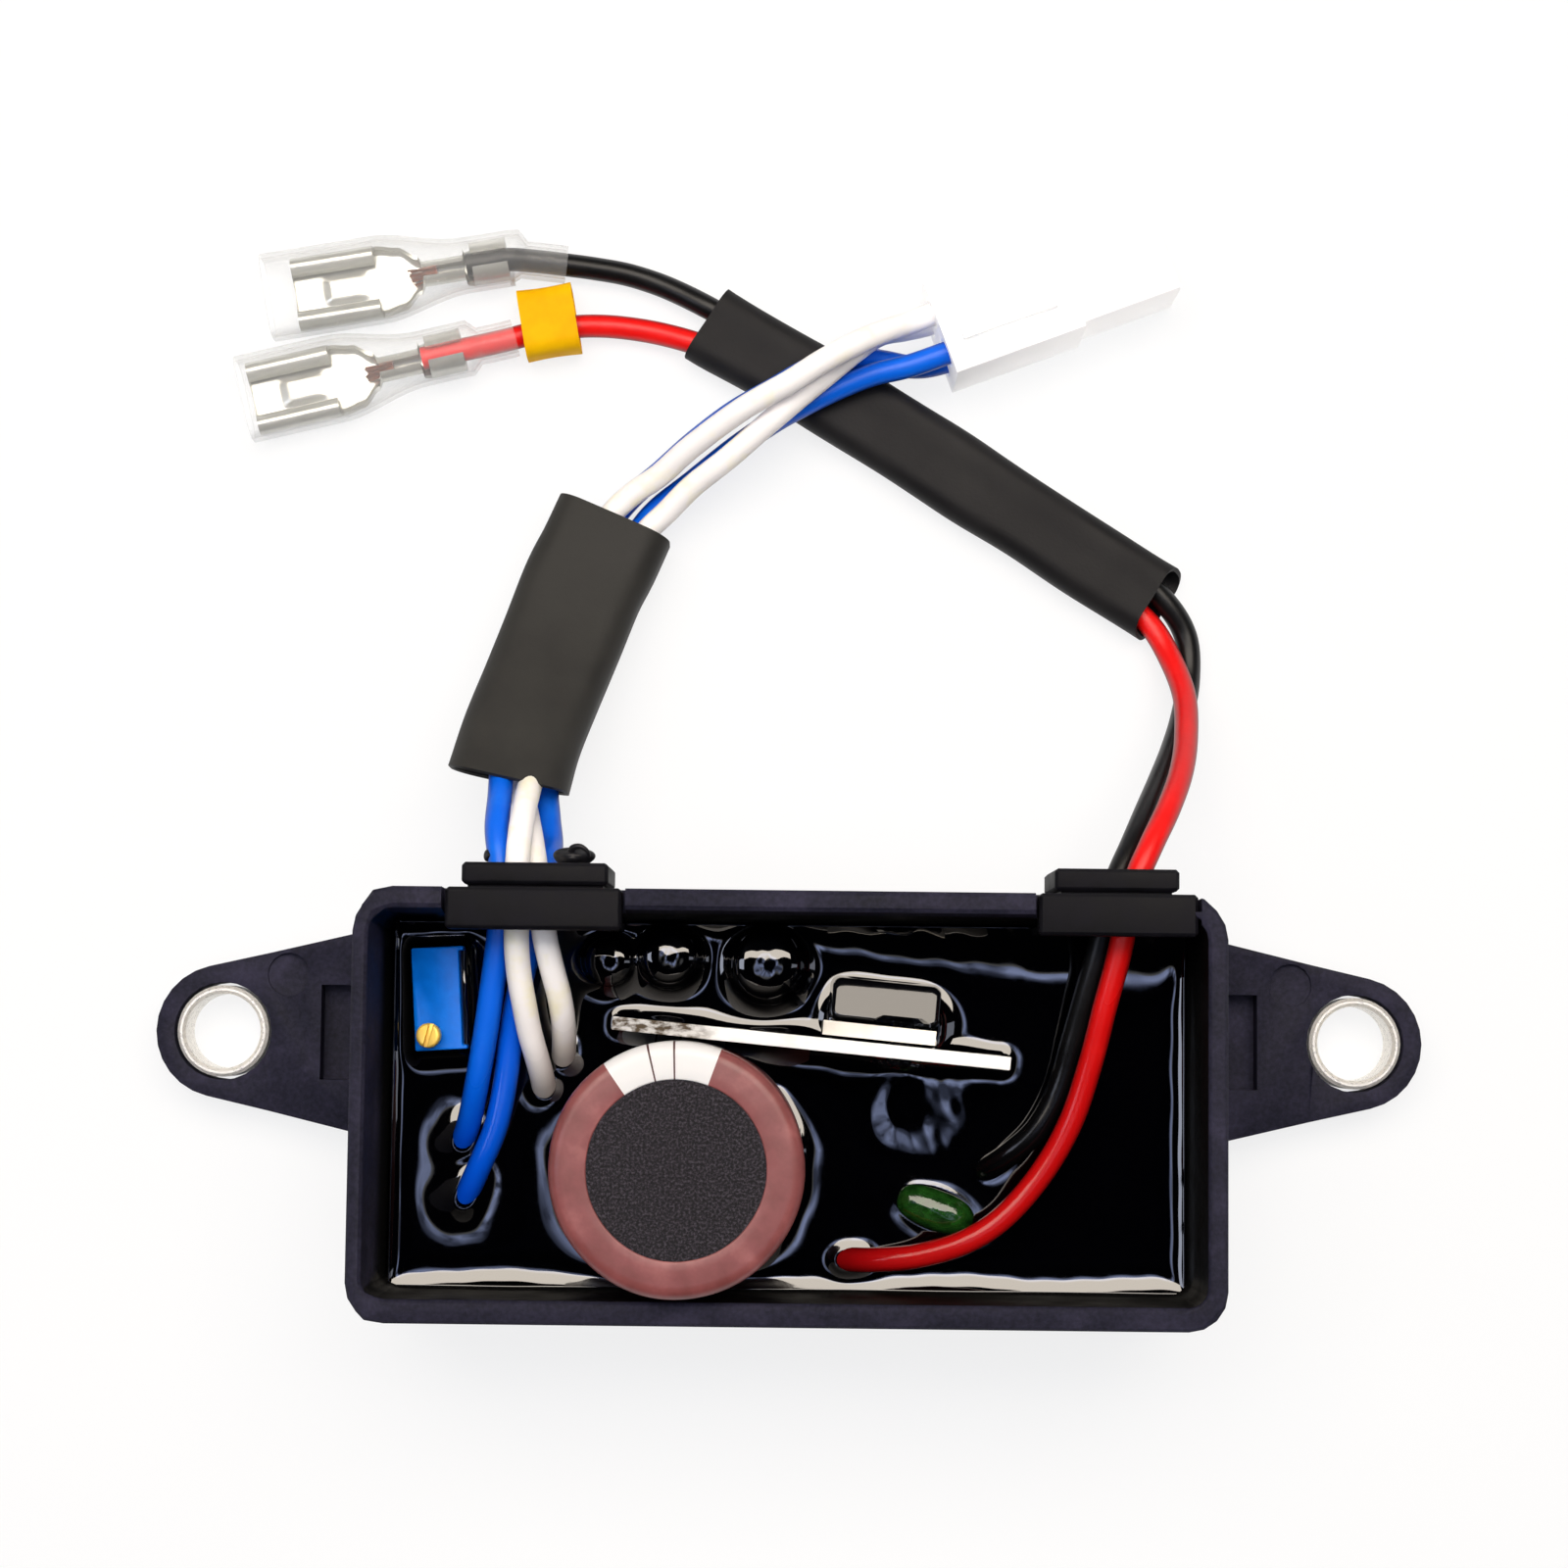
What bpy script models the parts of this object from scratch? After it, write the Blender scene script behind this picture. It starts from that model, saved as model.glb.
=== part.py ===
"""Automatic voltage regulator: a potted circuit in an open moulded case, with its leads.

Units are metres. The case lies on its back: the middle of the case's back face is the origin,
+X runs along the case, +Y points to the side that the leads leave by, and +Z is the open side.
"""

import math

import bmesh
import bpy
from mathutils import Matrix, Vector

# Clearances
GAP = 0.0003            # between pieces that touch on the real object
WIRE_GAP = 0.0003       # round a lead inside a sleeve, a slot or the resin

# Case
CASE_LENGTH = 0.0782
CASE_DEPTH = 0.028
CASE_WALL = 0.0018
CASE_FLOOR = 0.002
CASE_CORNER = 0.0035
CASE_DRAFT = 0.0004     # how much smaller each side is at the back
RIM_ROUNDING = 0.0003

# Mounting ears and their steel bushes
EAR_HOLE_SPAN = 0.1092
EAR_OFFSET = 0.0064     # how far the holes lie above the case's middle line
EAR_END_RADIUS = 0.0064
EAR_ROOT_HALF = 0.0104
EAR_THICKNESS = 0.005
EAR_RELIEF = 0.0001     # how far the ear's underside stands back from the bush's end
EAR_ROOT_RISE = 0.0021  # how much the ear thickens towards the case
EAR_RAMP_LENGTH = 0.0114
BUSH_OUTER = 0.0088
BUSH_BORE = 0.0072
BUSH_CHAMFER = 0.0003
POCKET_WIDTH = 0.0032
POCKET_LENGTH = 0.0091
POCKET_DEPTH = 0.0035
POCKET_FROM_CASE = 0.0043
EJECTOR_MARK = 0.0042
EJECTOR_MARK_DEPTH = 0.0003
EJECTOR_MARK_INWARD = 0.0063
EJECTOR_MARK_RISE = 0.0055

# Circuit board and the posts that it stands on
POST_HEIGHT = 0.0027
POST_RADIUS = 0.002
POST_INSET = 0.0045
BOARD_MARGIN = 0.0018
BOARD_THICKNESS = 0.0016
BOARD_CORNER = 0.002

# Potting resin
RESIN_BELOW_RIM = 0.014
RESIN_HUMP_HEIGHT = 0.0016
RESIN_HUMP = (0.0108, 0.0098)
RESIN_HUMP_OFFSET = (0.0234, 0.0048)    # from the large capacitor's middle

# Large capacitor
CAPACITOR_OFF_MIDDLE = -0.0098  # along the case
CAPACITOR_FROM_WALL = 0.0006
ROOM_OVER_CAPACITOR = 0.0110    # from its sleeve to the upper wall: the plate and the small capacitors
CAPACITOR_RADIUS = 0.0107
CAPACITOR_HEIGHT = 0.0241
CAPACITOR_SHOULDER = 0.0008
SLEEVE_FILM = 0.0003
SLEEVE_LIP_OPENING = 0.0079
TOP_DISC_THICKNESS = 0.0004
BUNG_RADIUS = 0.0095
BUNG_HEIGHT = 0.0017
PIN_RADIUS = 0.0005
PIN_SPACING = 0.010

# Heatsink plate and transistor
PLATE_LENGTH = 0.0360
PLATE_THICKNESS = 0.0012
PLATE_OVER_TAB = 0.0003
PLATE_TURN = math.radians(-5.2)
PLATE_SHIFT = 0.0128    # from the capacitor's middle, along the plate
TAB_WIDTH = 0.0102
TAB_THICKNESS = 0.0013
TAB_LIFT = 0.0025
TAB_SHIFT = 0.0060      # from the plate's middle, along the plate
TRANSISTOR_HEIGHT = 0.0093
TRANSISTOR_DEPTH = 0.0028
LEG_WIDTH = 0.0008
LEG_PITCH = 0.00254
RIVET_RADIUS = 0.0012
RIVET_HEAD_RADIUS = 0.0026
RIVET_HEAD_HEIGHT = 0.0007
RIVET_OVER_BODY = 0.0011  # from the transistor's body to the rivet's head
RIVET_UNDER_TOP = 0.0002  # from the rivet's head to the tab's top

# Trimmer and its brass screw
TRIMMER_FROM_END = 0.00667     # from the case's end to the trimmer's middle
TRIMMER_FROM_UPPER_SIDE = 0.00943
TRIMMER_LENGTH = 0.00953
TRIMMER_WIDTH = 0.00483
TRIMMER_HEIGHT = 0.0100
TRIMMER_TURN = math.radians(3.5)
TRIMMER_STEP = 0.00045
TRIMMER_STEP_END = 0.0004
SCREW_FROM_SIDE = 0.0014
SCREW_FROM_END = 0.0014
SCREW_HEAD_RADIUS = 0.00115
SCREW_HEAD_HEIGHT = 0.0012
SCREW_SHANK_RADIUS = 0.0006
SCREW_SHANK_LENGTH = 0.0018
SCREW_SLOT_WIDTH = 0.0004
SCREW_SLOT_DEPTH = 0.0005
SCREW_SLOT_TURN = math.radians(72)

# Small parts that stand in the resin
SMALL_CAPACITORS = [
    # name, distance along the case from the large one, distance from the case's upper side, radius, height
    ("small_capacitor_1", -0.00716, 0.0057, 0.0022, 0.0085),
    ("small_capacitor_2", -0.0014, 0.0053, 0.00275, 0.0096),
    ("small_capacitor_3", 0.0077, 0.0059, 0.0035, 0.0101),
]
FILM_CAPACITOR_OFFSET = (0.0236, -0.0042)   # from the large capacitor's middle
FILM_CAPACITOR_LENGTH = 0.0076
FILM_CAPACITOR_THICKNESS = 0.0040
FILM_CAPACITOR_HEIGHT = 0.0088
FILM_CAPACITOR_TURN = math.radians(-20)
RECTIFIER_OFFSET = (0.0233, 0.0048)         # from the large capacitor's middle
RECTIFIER_LENGTH = 0.0078
RECTIFIER_WIDTH = 0.0074
RECTIFIER_COVER = 0.0009                    # resin over it, below the hump

# Leads
LEAD_DIAMETER = 0.0023
CRIMP_AXIS_HEIGHT = 0.0027

# Grommets: the slots are measured from the grommet's middle and from the rim
LEFT_GROMMET_FROM_END = 0.0161
LEFT_GROMMET_WIDTH = 0.0158
LEFT_GROMMET_WAIST = 0.0122
LEFT_GROMMET_FLANGE = 0.0132
LEFT_SLOT_WIDTH = 0.00815
LEFT_SLOT_SHIFT = -0.001175
LEFT_SLOT_HEIGHT = 0.00815
LEFT_SLOT_TOP = 0.00345
RIGHT_GROMMET_FROM_END = 0.0098
RIGHT_GROMMET_WIDTH = 0.0142
RIGHT_GROMMET_WAIST = 0.0100
RIGHT_GROMMET_FLANGE = 0.0112
RIGHT_SLOT_WIDTH = 0.0061
RIGHT_SLOT_SHIFT = 0.00095
RIGHT_SLOT_HEIGHT = 0.0060
RIGHT_SLOT_TOP = 0.0046
GROMMET_CAP_HEIGHT = 0.0025
GROMMET_DEPTH = 0.0121
GROMMET_INNER_FLANGE = 0.0015
GROMMET_OUTER_FLANGE = 0.0020
GROMMET_FLANGE_LAP = 0.0011
GROMMET_FLANGE_LOW_LAP = 0.0009
GROMMET_BEVEL = 0.0003
SLOT_ROUNDING = 0.0012
SEALANT_BEADS = [
    # name, distance from the left grommet's middle, distance below the rim, radii
    ("sealant_bead_right", 0.0034, 0.0071, (0.0017, 0.0011, 0.0018)),
    ("sealant_bead_left", -0.0060, 0.0080, (0.0008, 0.0008, 0.0011)),
]

# Sleeves over the leads
LONG_SLEEVE_WIDTH = 0.0080
LONG_SLEEVE_THICKNESS = 0.0042
SHORT_SLEEVE_WIDTH = 0.0117
SHORT_SLEEVE_THICKNESS = 0.0072
SHORT_SLEEVE_CORNER = 0.0025
SLEEVE_WALL = 0.0005

# Marker on the red lead
MARKER_PLACE = (-0.0245, 0.0767, 0.0024)
MARKER_LENGTH = 0.0054
MARKER_WIDTH = 0.0069
MARKER_THICKNESS = 0.0046
MARKER_WALL = 0.0005
MARKER_CORNER = 0.0015
MARKER_TURN = math.radians(-170)

# Receptacle terminals, measured along their own axis from the middle of the insulation crimp
SHEET = 0.0004
TERMINAL_WIDTH = 0.0074
TERMINAL_CLEAR = 0.00085    # height of the sheet's underside above the table
INSULATION_CRIMP_LENGTH = 0.0035
CONDUCTOR_CRIMP_LENGTH = 0.0041
CRIMP_SPACING = 0.0009
CONDUCTOR_CRIMP_RADIUS = 0.0009
NECK_LENGTH = 0.0047
NECK_WIDTH = 0.0046
RECEPTACLE_LENGTH = 0.0083
ROLL_RADIUS = 0.0008
ROLL_ANGLE = math.radians(250)
TERMINAL_PLACES = {
    "red": ((-0.03467, 0.07342), math.radians(193.7)),
    "black": ((-0.03046, 0.0827), math.radians(190.0)),
}

# Clear boots over the terminals
BOOT_WALL = 0.0004
BOOT_MOUTH_WIDTH = 0.0085
BOOT_MOUTH_THICKNESS = 0.0048
BOOT_PAST_TIP = 0.0027
BOOT_MOUTH_CORNER = 0.0017
BOOT_WAIST_WIDTH = 0.0054
BOOT_WAIST_THICKNESS = 0.0052
BOOT_NECK_REACH = {"red": 0.0072, "black": 0.0076}

# Four-way plug, measured along its own axis from its rear face
PLUG_PLACE = (0.0139, 0.0750)
PLUG_TURN = math.atan2(0.356, 0.934)
PLUG_SIDE = 0.0096
PLUG_BODY_LENGTH = 0.0133
PLUG_NOSE_LENGTH = 0.0100
PLUG_NOSE_STEP = 0.0005
PLUG_PITCH = 0.0041
PLUG_CAVITY_RADIUS = 0.00145
PLUG_WIRE_DEPTH = 0.0040
PLUG_LATCH_WIDTH = 0.0042
PLUG_LATCH_THICKNESS = 0.0008
PLUG_LATCH_RISE = 0.0012
CONTACT_BORE = 0.0012
CONTACT_BORE_DEPTH = 0.0075

# Fineness of the round forms
CORNER_STEPS = 4
FINE_TURN = 40
ROUND_TURN = 24
SMALL_TURN = 16
CHANNEL_TURN = 8

# Sizes and places that follow from the ones above
SLEEVE_RADIUS = CAPACITOR_RADIUS + GAP + SLEEVE_FILM
CASE_WIDTH = (2 * (CASE_WALL + CASE_DRAFT / 2) + CAPACITOR_FROM_WALL + 2 * SLEEVE_RADIUS
              + ROOM_OVER_CAPACITOR)
UPPER_SIDE = CASE_WIDTH / 2
CAPACITOR_PLACE = (CAPACITOR_OFF_MIDDLE,
                   -CASE_WIDTH / 2 + CASE_WALL + CASE_DRAFT / 2 + CAPACITOR_FROM_WALL + SLEEVE_RADIUS)
BOARD_LOW = CASE_FLOOR + POST_HEIGHT + GAP
BOARD_TOP = BOARD_LOW + BOARD_THICKNESS
PART_LOW = BOARD_TOP + GAP
RESIN_LOW = CASE_FLOOR + GAP
RESIN_TOP = CASE_DEPTH - RESIN_BELOW_RIM
RECTIFIER_HEIGHT = RESIN_TOP - PART_LOW - RECTIFIER_COVER
TAB_HEIGHT = TRANSISTOR_HEIGHT + RIVET_OVER_BODY + 2 * RIVET_HEAD_RADIUS + RIVET_UNDER_TOP
PLATE_HEIGHT = TAB_LIFT + TAB_HEIGHT + PLATE_OVER_TAB
GROMMET_LOW = CASE_DEPTH - GROMMET_DEPTH
LEAD_RADIUS = LEAD_DIAMETER / 2

# Where each lead runs, from the board to its terminal or plug cavity
ROUTES = {
    "lead_red": [
        (0.0033, -0.0144, 0.0069), (0.0034, -0.0144, 0.0090), (0.0041, -0.0143, 0.0115),
        (0.0055, -0.0141, 0.0136), (0.0080, -0.0140, 0.0152), (0.0121, -0.0135, 0.0164),
        (0.0164, -0.0121, 0.0173), (0.0200, -0.0097, 0.0175), (0.0234, -0.0057, 0.0176),
        (0.0260, -0.0010, 0.0180), (0.0277, 0.0044, 0.0189), (0.0289, 0.0096, 0.0201),
        (0.0299, 0.0136, 0.0209), (0.0306, 0.0170, 0.0215), (0.0315, 0.0210, 0.0217),
        (0.0330, 0.0244, 0.0209), (0.0349, 0.0280, 0.0185), (0.0365, 0.0316, 0.0150),
        (0.0375, 0.0353, 0.0109), (0.0379, 0.0397, 0.0065), (0.0369, 0.0438, 0.0034),
        (0.0349, 0.0474, 0.0022), (0.0315, 0.0501, 0.0021), (0.0238, 0.0551, 0.0021),
        (0.0152, 0.0606, 0.0021), (0.0066, 0.0659, 0.0021), (-0.0019, 0.0709, 0.0021),
        (-0.0072, 0.0737, 0.0021), (-0.0099, 0.0748, 0.0021), (-0.0132, 0.0758, 0.0016),
        (-0.0163, 0.0764, 0.0013), (-0.0193, 0.0766, 0.0015), (-0.0222, 0.0764, 0.0019),
        (-0.0256, 0.0758, 0.0021), (-0.0288, 0.0749, 0.0023), (-0.0318, 0.0741, 0.0026),
        (-0.0343, 0.07352, 0.0027), (-0.0370, 0.07286, 0.0027),
    ],
    "lead_black": [
        (0.0168, -0.0069, 0.0069), (0.0169, -0.0068, 0.0090), (0.0174, -0.0064, 0.0115),
        (0.0186, -0.0056, 0.0136), (0.0206, -0.0041, 0.0152), (0.0230, -0.0018, 0.0160),
        (0.0250, 0.0019, 0.0163), (0.0263, 0.0066, 0.0171), (0.0275, 0.0112, 0.0183),
        (0.0284, 0.0146, 0.0190), (0.0292, 0.0180, 0.0194), (0.0301, 0.0214, 0.0193),
        (0.0316, 0.0246, 0.0179), (0.0332, 0.0278, 0.0151), (0.0349, 0.0310, 0.0115),
        (0.0366, 0.0344, 0.0076), (0.0380, 0.0380, 0.0042), (0.0389, 0.0420, 0.0020),
        (0.0387, 0.0461, 0.0015), (0.0367, 0.0494, 0.0020), (0.0332, 0.0525, 0.0021),
        (0.0256, 0.0576, 0.0021), (0.0169, 0.0632, 0.0021), (0.0082, 0.0686, 0.0021),
        (-0.0004, 0.0738, 0.0021), (-0.0060, 0.0769, 0.0021), (-0.0089, 0.0785, 0.0021),
        (-0.0115, 0.0799, 0.0016), (-0.0140, 0.0810, 0.0013), (-0.0170, 0.0819, 0.0013),
        (-0.0202, 0.0824, 0.0015), (-0.0234, 0.0827, 0.0019), (-0.0262, 0.0829, 0.0023),
        (-0.0287, 0.08295, 0.0026), (-0.0306, 0.08267, 0.0027), (-0.0328, 0.08229, 0.0027),
    ],
    "sense_white_1": [
        (-0.0227, -0.0005, 0.0069), (-0.0226, -0.0003, 0.0091), (-0.0226, 0.0003, 0.0114),
        (-0.0228, 0.0014, 0.0135), (-0.0230, 0.0029, 0.0154), (-0.0234, 0.0047, 0.0171),
        (-0.0239, 0.0068, 0.0186), (-0.0243, 0.0092, 0.0200), (-0.0247, 0.0118, 0.0212),
        (-0.0249, 0.0146, 0.0223), (-0.0249, 0.0183, 0.0229), (-0.0249, 0.0218, 0.0228),
        (-0.0248, 0.0252, 0.0211), (-0.0246, 0.0283, 0.0178), (-0.0242, 0.0311, 0.0143),
        (-0.0232, 0.0350, 0.0116), (-0.0228, 0.0392, 0.0096), (-0.0233, 0.0430, 0.0084),
        (-0.0232, 0.0470, 0.0071), (-0.0214, 0.0512, 0.0058), (-0.0196, 0.0546, 0.0051),
        (-0.0179, 0.0572, 0.0049), (-0.0158, 0.0592, 0.0051), (-0.0132, 0.0609, 0.0059),
        (-0.0101, 0.0634, 0.0076), (-0.0052, 0.0667, 0.0098), (-0.0005, 0.0693, 0.0108),
        (0.0024, 0.0712, 0.0109), (0.0056, 0.0730, 0.0109), (0.0085, 0.0746, 0.0094),
        (0.0109, 0.0758, 0.0076), (0.0132, 0.07692, 0.00687), (0.01691, 0.07834, 0.00685),
    ],
    "sense_white_2": [
        (-0.0218, 0.0022, 0.0069), (-0.0217, 0.0024, 0.0091), (-0.0214, 0.0031, 0.0113),
        (-0.0211, 0.0043, 0.0135), (-0.0209, 0.0060, 0.0156), (-0.0209, 0.0080, 0.0176),
        (-0.0212, 0.0102, 0.0193), (-0.0218, 0.0126, 0.0205), (-0.0224, 0.0152, 0.0211),
        (-0.0229, 0.0184, 0.0212), (-0.0234, 0.0216, 0.0208), (-0.0240, 0.0243, 0.0186),
        (-0.0248, 0.0270, 0.0151), (-0.0257, 0.0300, 0.0122), (-0.0260, 0.0340, 0.0094),
        (-0.0245, 0.0384, 0.0070), (-0.0225, 0.0428, 0.0057), (-0.0200, 0.0466, 0.0061),
        (-0.0179, 0.0502, 0.0058), (-0.0160, 0.0534, 0.0051), (-0.0143, 0.0557, 0.0048),
        (-0.0125, 0.0574, 0.0051), (-0.0100, 0.0598, 0.0061), (-0.0064, 0.0625, 0.0074),
        (-0.0028, 0.0656, 0.0082), (0.0004, 0.0684, 0.0083), (0.0030, 0.0706, 0.0082),
        (0.0055, 0.0727, 0.0084), (0.0080, 0.0748, 0.0068), (0.0107, 0.0760, 0.0041),
        (0.0132, 0.07692, 0.00278), (0.01691, 0.07834, 0.00275),
    ],
    "sense_blue_1": [
        (-0.0320, -0.0062, 0.0069), (-0.0316, -0.0059, 0.0090), (-0.0311, -0.0051, 0.0113),
        (-0.0304, -0.0037, 0.0134), (-0.0296, -0.0016, 0.0151), (-0.0288, 0.0019, 0.0169),
        (-0.0280, 0.0064, 0.0180), (-0.0274, 0.0104, 0.0190), (-0.0269, 0.0140, 0.0198),
        (-0.0265, 0.0180, 0.0204), (-0.0267, 0.0220, 0.0202), (-0.0272, 0.0254, 0.0189),
        (-0.0272, 0.0285, 0.0167), (-0.0273, 0.0317, 0.0142), (-0.0274, 0.0356, 0.0113),
        (-0.0270, 0.0396, 0.0084), (-0.0255, 0.0438, 0.0056), (-0.0235, 0.0478, 0.0037),
        (-0.0215, 0.0512, 0.0028), (-0.0196, 0.0544, 0.0023), (-0.0180, 0.0570, 0.0022),
        (-0.0159, 0.0595, 0.0024), (-0.0132, 0.0617, 0.0033), (-0.0100, 0.0644, 0.0046),
        (-0.0062, 0.0672, 0.0055), (-0.0024, 0.0694, 0.0058), (0.0014, 0.0716, 0.0058),
        (0.0052, 0.0729, 0.0053), (0.0086, 0.0728, 0.0039), (0.0116, 0.0725, 0.0030),
        (0.0144, 0.07301, 0.00275), (0.01837, 0.07451, 0.00275),
    ],
    "sense_blue_2": [
        (-0.0318, -0.0118, 0.0069), (-0.0314, -0.0115, 0.0090), (-0.0309, -0.0106, 0.0113),
        (-0.0300, -0.0088, 0.0136), (-0.0286, -0.0058, 0.0151), (-0.0271, -0.0021, 0.0156),
        (-0.0263, 0.0019, 0.0158), (-0.0258, 0.0059, 0.0163), (-0.0252, 0.0096, 0.0172),
        (-0.0244, 0.0130, 0.0182), (-0.0234, 0.0166, 0.0186), (-0.0229, 0.0203, 0.0184),
        (-0.0226, 0.0224, 0.0171), (-0.0225, 0.0242, 0.0147), (-0.0229, 0.0268, 0.0129),
        (-0.0232, 0.0300, 0.0116), (-0.0226, 0.0340, 0.0093), (-0.0214, 0.0382, 0.0071),
        (-0.0198, 0.0422, 0.0052), (-0.0183, 0.0462, 0.0039), (-0.0176, 0.0502, 0.0031),
        (-0.0166, 0.0534, 0.0025), (-0.0153, 0.0560, 0.0022), (-0.0134, 0.0582, 0.0026),
        (-0.0102, 0.0606, 0.0036), (-0.0061, 0.0637, 0.0050), (-0.0021, 0.0664, 0.0057),
        (0.0009, 0.0681, 0.00575), (0.0041, 0.0697, 0.0058), (0.0074, 0.0710, 0.0061),
        (0.0109, 0.0718, 0.0065), (0.0145, 0.07304, 0.00683), (0.01837, 0.07451, 0.00685),
    ],
}
LONG_SLEEVE_LINE = [
    (0.0359, 0.0493, 0.00215), (0.0328, 0.0512, 0.00215), (0.0280, 0.0542, 0.00215),
    (0.0231, 0.0574, 0.00215), (0.0183, 0.0604, 0.00215), (0.0134, 0.0636, 0.00215),
    (0.0056, 0.0684, 0.00215), (-0.0012, 0.0724, 0.00215), (-0.0071, 0.0757, 0.00215),
    (-0.0089, 0.0768, 0.00215),
]
SHORT_SLEEVE_LINE = [
    (-0.0267, 0.0303, 0.0132), (-0.0257, 0.0348, 0.0106), (-0.0241, 0.0398, 0.0080),
    (-0.0224, 0.0448, 0.0060), (-0.0206, 0.0500, 0.0046), (-0.0191, 0.0532, 0.0040),
    (-0.0176, 0.0567, 0.0037),
]

# Finishes: colour, roughness, metallic, opacity
FINISHES = {
    "case_nylon": ("#23242c", 0.55, 0.0, 1.0),
    "grommet_rubber": ("#26252c", 0.6, 0.0, 1.0),
    "bush_steel": ("#c9c9cb", 0.3, 1.0, 1.0),
    "potting_resin": ("#08090c", 0.06, 0.0, 1.0),
    "board_laminate": ("#2c5a3a", 0.5, 0.0, 1.0),
    "can_aluminium": ("#c4c6c9", 0.3, 1.0, 1.0),
    "shrink_film": ("#8a4d45", 0.4, 0.0, 1.0),
    "disc_paper": ("#2e2c2d", 0.9, 0.0, 1.0),
    "bung_rubber": ("#1c1c1e", 0.8, 0.0, 1.0),
    "trimmer_plastic": ("#0f7ad8", 0.4, 0.0, 1.0),
    "screw_brass": ("#cfa24a", 0.3, 1.0, 1.0),
    "plate_aluminium": ("#d4d2cc", 0.3, 1.0, 1.0),
    "tab_tin": ("#cfcdc8", 0.25, 1.0, 1.0),
    "transistor_epoxy": ("#1b1b1d", 0.4, 0.0, 1.0),
    "film_capacitor_coat": ("#24521c", 0.15, 0.0, 1.0),
    "capacitor_black": ("#0c0c0e", 0.15, 0.0, 1.0),
    "sealant": ("#17171a", 0.5, 0.0, 1.0),
    "lead_red": ("#ee261c", 0.35, 0.0, 1.0),
    "lead_black": ("#201f1f", 0.4, 0.0, 1.0),
    "lead_white": ("#ece6e2", 0.4, 0.0, 1.0),
    "lead_blue": ("#0b5fc0", 0.35, 0.0, 1.0),
    "sleeve_black": ("#2e2e2b", 0.6, 0.0, 1.0),
    "marker_yellow": ("#f6b400", 0.45, 0.0, 1.0),
    "terminal_tin": ("#d9dadb", 0.2, 1.0, 1.0),
    "boot_clear": ("#f2f2ee", 0.1, 0.0, 0.35),
    "plug_nylon": ("#f1efea", 0.45, 0.0, 1.0),
}


# Materials and objects

def linear(part):
    """One sRGB channel, 0 to 1, as linear light."""
    return part / 12.92 if part <= 0.04045 else ((part + 0.055) / 1.055) ** 2.4


def finish_material(name):
    """The material of this name, made when it is first asked for."""
    material = bpy.data.materials.get(name)
    if material:
        return material
    colour, roughness, metallic, opacity = FINISHES[name]
    channels = [linear(int(colour[i:i + 2], 16) / 255) for i in (1, 3, 5)]
    material = bpy.data.materials.new(name)
    material.use_nodes = True
    shader = material.node_tree.nodes["Principled BSDF"]
    shader.inputs["Base Color"].default_value = (*channels, 1.0)
    shader.inputs["Roughness"].default_value = roughness
    shader.inputs["Metallic"].default_value = metallic
    shader.inputs["Alpha"].default_value = opacity
    return material


def add_object(name, body, finish, parent=None):
    """Put a bmesh into the scene as a named object with smooth round faces."""
    bmesh.ops.recalc_face_normals(body, faces=body.faces)
    mesh = bpy.data.meshes.new(name)
    body.to_mesh(mesh)
    body.free()
    mesh.shade_smooth()
    mesh.set_sharp_from_angle(angle=math.radians(35))
    mesh.materials.append(finish_material(finish))
    piece = bpy.data.objects.new(name, mesh)
    bpy.context.scene.collection.objects.link(piece)
    piece.parent = parent
    return piece


def add_empty(name, place=(0, 0, 0), turn=0.0):
    """An empty that carries pieces which share one place and turn."""
    empty = bpy.data.objects.new(name, None)
    empty.location = place
    empty.rotation_euler = (0, 0, turn)
    bpy.context.scene.collection.objects.link(empty)
    return empty


def combine(piece, tool, operation):
    """Cut the tool from the piece, or join it to the piece, and keep the tool out of sight."""
    modifier = piece.modifiers.new(tool.name, "BOOLEAN")
    modifier.operation = operation
    modifier.solver = "EXACT"
    modifier.object = tool
    tool.hide_render = True
    tool.display_type = "WIRE"


def cut(piece, *tools):
    for tool in tools:
        combine(piece, tool, "DIFFERENCE")


def join(piece, *tools):
    for tool in tools:
        combine(piece, tool, "UNION")


# Outlines and solids

def rounded_outline(width, height, radius, steps=CORNER_STEPS):
    """A rectangle with round corners about (0, 0), anticlockwise."""
    points = []
    corners = [(1, 1, 0), (-1, 1, 90), (-1, -1, 180), (1, -1, 270)]
    for side_u, side_v, start in corners:
        centre_u = side_u * (width / 2 - radius)
        centre_v = side_v * (height / 2 - radius)
        for step in range(steps + 1):
            angle = math.radians(start + 90 * step / steps)
            points.append((centre_u + radius * math.cos(angle), centre_v + radius * math.sin(angle)))
    return points


def oval_outline(length, width, count, power=2.0):
    """A superellipse about (0, 0): power 2 is an ellipse, and more is squarer."""
    points = []
    for step in range(count):
        angle = 2 * math.pi * step / count
        across, up = math.cos(angle), math.sin(angle)
        u = math.copysign(abs(across) ** (2 / power), across) * length / 2
        v = math.copysign(abs(up) ** (2 / power), up) * width / 2
        points.append((u, v))
    return points


def loft(name, rings, finish, closed=False, parent=None):
    """A solid through rings of equally many points, capped at both ends unless it closes on itself."""
    body = bmesh.new()
    rows = [[body.verts.new(point) for point in ring] for ring in rings]
    pairs = list(zip(rows, rows[1:]))
    if closed:
        pairs.append((rows[-1], rows[0]))
    for low, high in pairs:
        for here in range(len(low)):
            after = (here + 1) % len(low)
            body.faces.new((low[here], low[after], high[after], high[here]))
    if not closed:
        body.faces.new(rows[0])
        body.faces.new(rows[-1])
    return add_object(name, body, finish, parent)


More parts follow.
